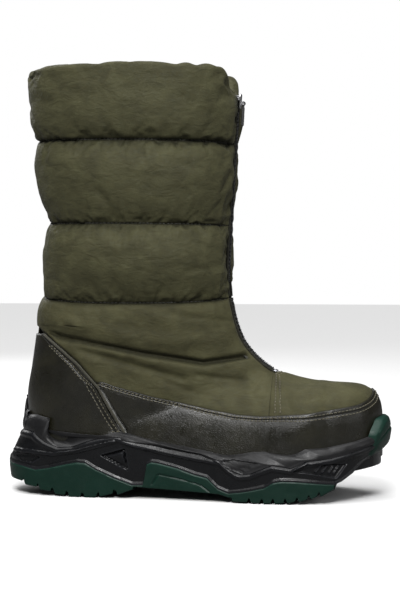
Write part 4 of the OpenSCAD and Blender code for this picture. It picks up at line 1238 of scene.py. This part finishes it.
def slider():
    parts = [plate(2.6, 1.0), plate(-2.1, 1.0), block((-1.3, -0.9, 1), (2.9, 0.9, 4.6), 0.2)]
    for s in SIDES:
        parts.append(block((3.4, s * 1.9 - 0.6, PIN_Z - 1.5), (PIN_OUT + 0.8, s * 1.9 + 0.6, PIN_Z + 1.5), 0.3))
    y = np.linspace(-2.4, 2.4, 6)
    parts.append(tube(on_zip(np.stack([0 * y + PIN_OUT, y, 0 * y + PIN_Z], -1)), 0.7, 14))
    piece = make_piece("metal_slider", joined(parts), SLIDER_METAL, "slider_metal", sharp=35)
    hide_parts("zip_slider")
    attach(piece, "zip_slider")


def puller():
    """Flat puller hung from the slider's pin by an eye, with a ribbed grip."""
    angle = np.linspace(0, 2 * math.pi, 25)[:-1]
    ring = on_zip(np.stack([PIN_OUT + 1.2 * np.cos(angle), 0 * angle, PIN_Z + 1.2 * np.sin(angle)], -1))
    parts = [tube(ring, 0.42, 8, closed=True)]
    parts.append(block((PIN_OUT - 0.6, -1.1, PIN_Z - 3.2), (PIN_OUT + 0.6, 1.1, PIN_Z - 1.0), 0.25))
    parts.append(block((PIN_OUT - 0.8, -2, PIN_Z - 17), (PIN_OUT + 0.8, 2, PIN_Z - 2.8), 0.35))
    for z in np.arange(-15.4, -9, 1.3):
        parts.append(block((PIN_OUT - 1.0, -1.5, PIN_Z + z), (PIN_OUT + 1.0, 1.5, PIN_Z + z + 0.6), 0.15))
    piece = make_piece("ribbed_puller", joined(parts), ZIP_PLASTIC, "zip_plastic", sharp=35)
    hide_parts("zip_puller")
    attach(piece, "zip_puller")


for side in SIDES:
    zip_half(side)
lower_zip()
slider()
puller()


# ---------------------------------------------------------------- sole
SOLE_PLAN = np.array([
    [-72, 0], [-69, -16], [-59, -28.5], [-43, -35.8], [-15, -40], [15, -41.8], [50, -43.5], [85, -47.5],
    [115, -51.8], [140, -53.2], [163, -51.5], [183, -46.5], [200, -38.5], [212, -27.5], [219.5, -13], [221.5, 3],
    [219, 19], [212, 30.5], [200, 39.5], [183, 45], [163, 47.5], [140, 46.8], [115, 43], [85, 38.5],
    [50, 36], [15, 37], [-15, 38], [-43, 34.8], [-59, 27.5], [-69, 15.5]], float)
GROOVE_LINE = [(-63, 48), (-53.4, 47.4), (-50.7, 46), (-37.8, 40.5), (-25.8, 36.8), (-14.2, 37.7),
               (-3.2, 41.7), (8.1, 44.7), (19.1, 46.4), (25.7, 45.7), (33.8, 43.3), (45.3, 41.3),
               (60, 38.3), (74.8, 35.9), (93.1, 33.2), (98.9, 31), (104, 26.4), (111.3, 21.8),
               (114.8, 20.8), (121.9, 21.7), (132.6, 26.1), (138.2, 28.1), (144.3, 27.4), (152, 26.2),
               (162.3, 31), (182.8, 33.6), (193.9, 36.1), (205.1, 39.4), (213, 42), (222, 49)]
TRIM_LINE = [(-63, 65), (-55, 62.5), (-49, 59), (-43, 54), (-38, 50.6), (-33.6, 48.4), (-24.5, 45.8),
             (-13.5, 45.2), (-3.2, 43.8), (8.1, 46.5), (19.1, 48.8), (27.3, 48.4), (45.3, 43.6), (60, 41),
             (74.5, 38.8), (92.1, 35.7), (98.9, 33.8), (105.8, 33.4), (114.8, 35), (122.2, 36.3),
             (131.9, 37), (137.8, 35.7), (151.5, 34.6), (155.9, 35.7), (161.9, 39), (177.1, 39.8),
             (188.4, 42), (199.6, 44.2), (207.9, 46.5), (213, 52), (222, 66)]
PARTING_LINE = [(-72, 26.8), (-68.9, 22.9), (-54.5, 21.5), (-44.1, 19.4), (-33.8, 21), (-21.9, 23.9),
                (-10.5, 26.3), (-3.8, 25.8), (4.4, 21), (19.1, 14.9), (32.3, 10.2), (40.5, 10.4),
                (42.3, 18), (43.5, 25.9), (46.8, 27.6), (51.8, 27.1), (66.5, 23.8), (79.9, 19.5),
                (89.6, 17.4), (93.3, 13.9), (98.1, 9.8), (106, 7), (114.5, 8), (122.2, 9.4), (132.8, 11.9),
                (138.9, 15.6), (144.3, 16.8), (154.4, 16.7), (165.8, 15.8), (177.1, 14.9), (186, 14.4)]
TOE_UNDER = [(186, 14.6), (192.3, 16.5), (202.4, 22), (212.3, 30.2), (218.5, 38), (222, 45)]
BED_LINE = [(-80, 28.6), (-30, 27.6), (15, 25.4), (65, 22.4), (112, 20.4), (148, 20.4), (180, 21.6), (200, 23.8),
            (212, 25.6), (240, 29)]
OUTSOLE_TOE = 186
TREAD = 3.0
# Ends and heights of each tread tooth, from heel to toe.
TEETH = [(-69.5, 11, -56, 10), (-54, 7.4, -43, 6.4), (-41, 4.5, -31, 3.6), (-28.5, 1.8, -19.5, 1.4),
         (-17, 0.2, -7.5, 0.2), (-5, 0, 5, 0.8), (7, 1.0, 17.5, 3.5), (20.5, 2.6, 33, 7),
         (108.5, 1.2, 120.3, 1.0), (122.4, 0.6, 129.7, 0.8), (131.7, 0.5, 137.9, 1.0),
         (139.9, 0.7, 147.1, 1.3), (148.9, 1.1, 155.5, 2.4), (157.3, 2.0, 164.1, 4.0),
         (165.8, 4.0, 171.4, 6.2), (173.1, 6.0, 184.6, 11)]
ARCH_UNDER = [(34, 9), (84, 6.8), (99, 6), (106.5, 3.8)]


def tooth_line():
    """Side view of the tread: teeth with slanting flanks, and the smooth arch between heel and forefoot."""
    line = []
    for x0, z0, x1, z1 in TEETH:
        if x0 > 100 and line[-1][0] < 100:
            line += ARCH_UNDER
        line += [(x0 - 0.2, z0 + TREAD), (x0 + 0.5, z0), (x1 - 0.3, z1), (x1 + 0.5, z1 + TREAD)]
    return np.array([(-72, 15)] + line + [(OUTSOLE_TOE, 13)])


TOOTH_LINE = tooth_line()


def plan_halves(step=0.8):
    """x along the sole from heel to toe, and the half plans' y on both sides, evenly spaced along the edge."""
    count = len(SOLE_PLAN)
    table = np.concatenate([SOLE_PLAN, SOLE_PLAN[:3]])
    ring = spline(table, np.linspace(1, count + 1, count * 60 + 1))
    ring = np.roll(ring[:-1], 60, axis=0)
    tip, heel = int(np.argmax(ring[:, 0])), 0
    lateral, medial = ring[: tip + 1], np.concatenate([ring[tip:], ring[:1]])[::-1]
    run = run_along(lateral)
    places = np.linspace(0, run[-1], int(run[-1] / step))
    x = np.interp(places, run, lateral[:, 0])
    return x, np.interp(places, run, lateral[:, 1]), np.interp(x, np.maximum.accumulate(medial[:, 0]), medial[:, 1])


PLAN_X, PLAN_LATERAL, PLAN_MEDIAL = plan_halves()


def ring_of(x, lateral, medial, z):
    """A loop from the heel along the lateral side to the toe and back along the medial side."""
    outline = np.concatenate([np.stack([x, lateral], -1), np.stack([x, medial], -1)[::-1]])
    z = np.broadcast_to(z, x.shape)
    return np.concatenate([outline, np.concatenate([z, z[::-1]])[:, None]], axis=1)


def inset(loop, amount):
    """The loop moved inwards in plan."""
    along = np.roll(loop, -2, axis=0) - np.roll(loop, 2, axis=0)
    n = np.stack([-along[:, 1], along[:, 0]], -1)
    n /= np.maximum(np.linalg.norm(n, axis=1, keepdims=True), 1e-6)
    n *= np.sign(np.sum(n * ([75, 0] - loop[:, :2]), axis=1).sum())
    moved = loop.copy()
    moved[:, :2] += n * np.broadcast_to(amount, len(loop))[:, None]
    return moved


def end_shift(x, z):
    """How far the sole's wall is drawn in at the heel and at the toe at height z."""
    heel = np.interp(z, [8, 20, 27.7, 40, 48, 52, 62], [1.5, 0.2, 0, 5.6, 9.8, 11.4, 14])
    toe = np.interp(z, [14, 30, 38, 44, 60, 66], [9.5, 8.2, 3, 0.6, 0.2, 2.5])
    return heel * smooth((-25 - x) / 45) - toe * smooth((x - 170) / 50)


def at_height(x, lateral, medial, z):
    """The plan loop at height z, with the slant of the heel and the toe."""
    loop = ring_of(x, lateral, medial, z)
    loop[:, 0] += end_shift(loop[:, 0], loop[:, 2])
    return loop


def polygon_depth(polygon, x, z):
    """Distance inside a side-view polygon, negative outside."""
    edge = polygon + polygon[:1]
    gap = distance_to_line(np.stack([x, z], -1), edge)
    inside = np.zeros(x.shape, bool)
    for (ax, az), (bx, bz) in zip(edge[:-1], edge[1:]):
        inside ^= ((az > z) != (bz > z)) & (x < (bx - ax) * (z - az) / (bz - az + 1e-12) + ax)
    return np.where(inside, gap, -gap)


def recess(polygon, depth, x, z, wall=0.7):
    return -depth * smooth(polygon_depth(polygon, x, z) / wall)


def ridge(path, height, width, x, z):
    """A raised rib along a side-view line."""
    gap = distance_to_line(np.stack([x, z], -1), path)
    return height * smooth((width / 2 + 0.5 - gap) / 0.6)


TRIANGLE = [(7.3, 31.8), (26.5, 37.3), (29.2, 20.8)]
LENS = [(-65.8, 28.8), (-52, 31.5), (-39.4, 29), (-47.8, 24.6), (-58, 24.8)]
FORE_PANEL = [(152.6, 23.8), (163.6, 29.8), (197.5, 29.2), (187.5, 18.8), (163, 22.8)]
SLASHES = [[(170.2, 24), (174, 28.2)], [(175.1, 23.3), (180, 28.9)], [(180.8, 23), (186.1, 29.2)],
           [(185.6, 22.7), (192.3, 30.4)]]
HEEL_RIDGE = [(-68, 33), (-50, 33), (-30, 31.5), (-12, 34), (3, 38), (18, 42)]
TRIM_PANEL = [(105.8, 29.4), (130.4, 31.7), (137.4, 29.7), (117, 22.1)]


def midsole_relief(x, z, top, bottom):
    """Outward offset of the midsole's wall."""
    below = top - z
    r = -1.0 * smooth((below - 3.2) / 2.2) * smooth((z - bottom - 0.8) / 2)
    band = smooth((x - 22) / 4) * smooth((97 - x) / 4)
    r = r + band * (0.9 - 0.5 * np.clip(5.2 - below, 0, 5.2)) * (below < 5.2) - band * 0.4 * smooth((below - 5.2) / 1.2)
    r = r - (1 - band) * 1.3 * np.clip(1 - below / 1.6, 0, 1)
    r = r + recess(TRIANGLE, 1.9, x, z)
    wedge = polygon_depth(TRIANGLE, x, z)
    r = r + 1.7 * smooth((wedge - 1.4) / 0.7) * np.clip(0.35 + (x - 10) / 20, 0, 1.2) * smooth((z - 22) / 10)
    r = r + recess(LENS, 1.2, x, z) + recess(FORE_PANEL, 1.2, x, z)
    inner = polygon_depth(FORE_PANEL, x, z) > 0.9
    for slash in SLASHES:
        r = r + inner * ridge(slash, 1.0, 0.9, x, z)
    r = r + ridge([(187.8, 19.1), (196.8, 28.4)], 0.7, 1.2, x, z) + ridge([(153, 24.4), (163.4, 30)], 0.7, 1.0, x, z)
    return r + ridge(HEEL_RIDGE, 0.9, 2.4, x, z)


def wall(x, lateral, medial, bottom, top, rows, relief):
    """Loops up a sole wall from height bottom(x) to top(x), with an outward relief."""
    loops = []
    for share in np.linspace(0, 1, rows):
        z = mix(bottom, top, share)
        loop = at_height(x, lateral, medial, z)
        z2 = loop[:, 2]
        t, b = np.concatenate([top, top[::-1]]), np.concatenate([bottom, bottom[::-1]])
        x2 = np.concatenate([x, x[::-1]])
        loops.append(inset(loop, -relief(x2, z2, t, b)))
    return loops


def midsole():
    x = PLAN_X
    top = interp(GROOVE_LINE, x)
    bottom = np.where(x < OUTSOLE_TOE, interp(PARTING_LINE, x) + 0.1, interp(TOE_UNDER, x))
    bottom = np.minimum(bottom, top - 1.5)
    loops = wall(x, PLAN_LATERAL, PLAN_MEDIAL, bottom, top, 44, midsole_relief)
    under = [inset(loops[0], 3.0), inset(loops[0], 1.0)]
    under[0][:, 2] = np.maximum(under[0][:, 2], 12)
    rim, floor_loop = inset(loops[-1], 3.5), inset(loops[-1], 4.5)
    floor_loop[:, 2] = np.minimum(interp(BED_LINE, floor_loop[:, 0]) - 0.4, loops[-1][:, 2] - 0.5)
    shape = loft(np.array(under + loops + [rim, floor_loop]))
    piece = make_piece("sculpted_midsole", shape, FOAM, "black_foam", sharp=42)
    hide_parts("midsole")
    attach(piece, "foot")


def outsole_relief(x, z, top, bottom):
    """The green rubber stands a little proud, with a rounded lip and a grooved outline under the arch."""
    r = 0.35 - 0.7 * np.clip(1 - (top - z) / 0.9, 0, 1) ** 2 - 0.5 * np.clip(1 - (z - bottom) / 0.7, 0, 1) ** 2
    arch = [(47.6, 11.6), (51.8, 18.4), (53.8, 18.9), (69.2, 16.1), (79.9, 13.6), (85.2, 12), (91.7, 7.6)]
    return r - ridge(arch, 0.7, 0.7, x, z)


def tread_height(x, share):
    """Height of the tread at x, with the teeth bent to chevrons and cut by lengthwise grooves."""
    bend = 7 * np.sin(np.pi * np.clip(share, 0, 1)) ** 2
    z = np.interp(x - bend * smooth((x + 60) / 12) * smooth((180 - x) / 12), TOOTH_LINE[:, 0], TOOTH_LINE[:, 1])
    groove = np.exp(-(((share - 0.36) / 0.022) ** 2)) + np.exp(-(((share - 0.64) / 0.022) ** 2))
    return z + 2.4 * groove * smooth((x + 66) / 5) * smooth((181 - x) / 5)


def outsole():
    keep = PLAN_X <= OUTSOLE_TOE
    x, lateral, medial = PLAN_X[keep], PLAN_LATERAL[keep], PLAN_MEDIAL[keep]
    top = interp(PARTING_LINE, x)
    bottom = np.minimum(np.interp(x, TOOTH_LINE[:, 0], TOOTH_LINE[:, 1]), top - 0.8)
    loops = wall(x, lateral, medial, bottom, top, 26, outsole_relief)
    lip, cup = inset(loops[-1], 2.6), inset(loops[-1], 2.8)
    cup[:, 2] = np.minimum(np.maximum(11.3, bottom.max() * 0), loops[-1][:, 2] - 0.3)
    count = len(x)
    edge = loops[0]
    near, far = edge[:count], edge[count:][::-1]
    share = np.linspace(0, 1, 60)
    grid = mix(near[:, None], far[:, None], share[None, :, None])
    inside = smooth(np.minimum(share, 1 - share) / 0.02)[None, :]
    lifted = np.minimum(tread_height(grid[..., 0], share[None, :]), 11)
    grid[..., 2] = mix(grid[..., 2], np.maximum(lifted, 0), inside)
    points, faces = loft(np.array(loops + [lip, cup]))
    at = np.arange(count * 60).reshape(count, 60)
    bottom_faces = quads(at[:-1, :-1], at[1:, :-1], at[1:, 1:], at[:-1, 1:]).tolist()
    ring = count * 2
    cap_start = (len(loops) + 1) * ring
    cap = len(ladder(np.arange(ring)))
    faces = faces[:cap_start] + faces[cap_start + cap:]
    piece = make_piece("cleated_outsole", joined([(points, faces), (grid.reshape(-1, 3), bottom_faces)]), GREEN_RUBBER,
                       "green_rubber", sharp=40, weld=2e-6)
    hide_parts("outsole")
    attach(piece, "foot")


def upper_edge(height_line, d, count):
    """Line round the upper at the height given in side view, heel to toe on both sides, evenly spaced."""
    halves = []
    for side in SIDES:
        v = np.linspace(8.2, TOE_RIB, 900)
        z = np.full(len(v), 44.0)
        for _ in range(12):
            p = place_at_height(v, z)
            z = mix(z, interp(height_line, upper(v, p, side, d)[:, 0]), 0.6)
        line = upper(v, place_at_height(v, z), side, d)
        line = line[np.argmin(line[:, 0] + 0.4 * np.abs(line[:, 1])):]
        line = np.concatenate([[[line[0, 0] - 0.3, 0, line[0, 2]]], line])
        run = run_along(line)
        places = np.linspace(0, run[-1], count)
        halves.append(np.stack([np.interp(places, run, line[:, i]) for i in range(3)], -1))
    return np.concatenate([halves[0], halves[1][::-1]])


def trim():
    """Glossy foxing strip between the midsole and the upper."""
    x = PLAN_X
    low = interp(GROOVE_LINE, x) + 0.3
    base = at_height(x, PLAN_LATERAL, PLAN_MEDIAL, low)
    crest = upper_edge(TRIM_LINE, -3.6, len(x))
    inner = upper_edge(TRIM_LINE, -0.8, len(x))
    loops = []
    x2 = base[:, 0]
    for share in np.linspace(0, 1, 16):
        loop = mix(inset(base, 0.9), crest, share)
        belly = 1.5 * math.sin(math.pi * share ** 0.8) - 1.0 * max(0, share - 0.85) / 0.15
        panel = recess(TRIM_PANEL, 1.2, x2, loop[:, 2]) + ridge([(105, 26), (118, 31), (131, 34)], 0.4, 1.2, x2, loop[:, 2])
        loops.append(inset(loop, -(belly + panel)))
    hidden = inner.copy()
    hidden[:, 2] = np.minimum(base[:, 2], inner[:, 2] - 1)
    cross = loops + [inner, hidden]
    at = np.arange(len(cross) * len(x2)).reshape(len(cross), len(x2))
    after = np.roll(at, -1, axis=1)
    faces = quads(at[:-1], after[:-1], after[1:], at[1:]).tolist() + quads(at[-1], after[-1], after[0], at[0]).tolist()
    shape = (np.array(cross).reshape(-1, 3), faces)
    piece = make_piece("foxing_strip", shape, TRIM_RUBBER, "black_rubber", sharp=42)
    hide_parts("sole_trim")
    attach(piece, "foot")


def toe_bumper():
    """Green cap wrapped over the front of the sole."""
    y = np.linspace(-26, 31, 64)
    front = PLAN_X > 150
    tip_x = np.concatenate([PLAN_X[front], PLAN_X[front][::-1]])
    tip_y = np.concatenate([PLAN_LATERAL[front], PLAN_MEDIAL[front][::-1]])
    order = np.argsort(tip_y)
    plan = np.interp(y, tip_y[order], tip_x[order])
    high = np.interp(plan, [209, 212.4, 214, 219, 222], [40, 46, 52, 60, 62])
    low = np.interp(plan, [209, 212, 217.6, 221.4], [28.5, 30, 34, 39])
    share = np.linspace(0, 1, 30)[:, None]
    z = mix(low[None, :], high[None, :], share)
    x = np.interp(z, [28, 30, 38, 43.6, 50.6, 57.3, 62], [210.5, 212.4, 218.9, 221.2, 222.3, 221.3, 219.2]) - 221.5 + plan[None, :]
    rim = np.minimum(smooth(np.minimum(share, 1 - share) / 0.08), smooth(np.minimum(y + 26, 31 - y) / 2.5)[None, :])
    x = x + mix(-0.9, 0.9, rim) - 0.7 * np.exp(-(((share - 0.62) / 0.03) ** 2)) * rim
    grid = np.stack([x, y[None, :] + 0 * z, z], -1)
    back = grid.copy()
    back[..., 0] -= 5.5
    piece = make_piece("green_toe_cap", sheet(grid, back), GREEN_RUBBER, "green_rubber", sharp=50)
    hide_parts("toe_bumper")
    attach(piece, "foot")


def felt_footbed():
    """Felt insole with a raised heel cup and a pressed edge."""
    v = np.concatenate([np.linspace(11.0, 12, 26), np.linspace(12, TOE_RIB, 90)[1:]])
    halves = [upper(v, 1.0, side, 9.8) for side in SIDES]
    loop = np.concatenate([halves[0], halves[1][::-1]])
    base = interp(BED_LINE, loop[:, 0])
    loops = []
    for rise, into in ((2.4, 0.6), (2.6, 0), (5.4, 0), (6.1, 0.8), (6.2, 3), (5.6, 6)):
        ring = inset(loop, into)
        ring[:, 2] = base + rise
        loops.append(ring)
    piece = make_piece("felt_footbed", loft(np.array(loops)), FELT, "felt", sharp=60)
    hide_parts("footbed")
    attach(piece, "foot")


def painted_frame():
    """Materials for the stiff CAD nodes that stay in view inside the boot."""
    for node, material in (("shank", STEEL), ("insole_board", BOARD), ("heel_stiffener", STIFFENER),
                           ("toe_puff", STIFFENER), ("back_seam_cord", CORD)):
        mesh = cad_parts[node].data
        mesh.materials.clear()
        mesh.materials.append(material)


midsole()
outsole()
trim()
toe_bumper()
felt_footbed()
painted_frame()


# ---------------------------------------------------------------- studio
def area_light(name, place, target, size, power):
    light = bpy.data.lights.new(name, "AREA")
    light.shape = "RECTANGLE"
    light.size, light.size_y = size
    light.energy = power
    lamp = bpy.data.objects.new(name, light)
    lamp.location = place
    lamp.rotation_euler = (Vector(target) - Vector(place)).to_track_quat("-Z", "Y").to_euler()
    bpy.context.scene.collection.objects.link(lamp)


def sky_light(strength):
    """Broad overhead light that falls evenly on the boot and the floor."""
    light = bpy.data.lights.new("sky", "SUN")
    light.energy = strength
    light.angle = math.radians(55)
    lamp = bpy.data.objects.new("sky", light)
    lamp.rotation_euler = (math.radians(8), math.radians(-4), 0)
    bpy.context.scene.collection.objects.link(lamp)


def floor():
    """A pale floor that throws little light back at the boot."""
    s = Shader("floor", (0.86, 0.86, 0.86), 0.75)
    s.set("Specular IOR Level", 0.1)
    seen = s.add("LightPath", {}, output="Is Camera Ray")
    s.set("Base Color", s.colours(seen, (0.22, 0.22, 0.22), (0.88, 0.88, 0.88)))
    reach = 6.0
    mesh = bpy.data.meshes.new("floor")
    mesh.from_pydata([(-reach, -reach, 0), (reach, -reach, 0), (reach, reach, 0), (-reach, reach, 0)], [], [[0, 1, 2, 3]])
    mesh.materials.append(s.material)
    plane = bpy.data.objects.new("floor", mesh)
    bpy.context.scene.collection.objects.link(plane)


def backdrop(seen, ambient):
    """A white backdrop for the camera, with a dimmer glow for the light it casts."""
    world = bpy.data.worlds.new("studio")
    world.use_nodes = True
    bpy.context.scene.world = world
    tree = world.node_tree
    path = tree.nodes.new("ShaderNodeLightPath")
    strength = tree.nodes.new("ShaderNodeMapRange")
    tree.links.new(path.outputs["Is Camera Ray"], strength.inputs["Value"])
    strength.inputs["To Min"].default_value = ambient
    strength.inputs["To Max"].default_value = seen
    background = tree.nodes["Background"]
    background.inputs["Color"].default_value = (1, 1, 1, 1)
    tree.links.new(strength.outputs[0], background.inputs["Strength"])


def camera():
    lens = bpy.data.cameras.new("camera")
    lens.lens = 89.7
    lens.shift_y = -0.0527
    eye = bpy.data.objects.new("camera", lens)
    eye.location = (0.2569, -1.1358, 0.172)
    eye.rotation_euler = (math.radians(90), 0, math.radians(9))
    bpy.context.scene.collection.objects.link(eye)
    bpy.context.scene.camera = eye


BOOT_MIDDLE = (0.05, 0, 0.15)
area_light("key", (0.12, -1.15, 1.0), BOOT_MIDDLE, (0.5, 0.4), 19)
area_light("side", (1.3, -0.5, 0.7), BOOT_MIDDLE, (0.5, 0.8), 3)
area_light("back", (-0.8, 1.1, 0.9), BOOT_MIDDLE, (0.9, 0.9), 7)
sky_light(2.6)
floor()
backdrop(1.0, 0.08)
camera()
bpy.context.scene.view_settings.view_transform = "Standard"
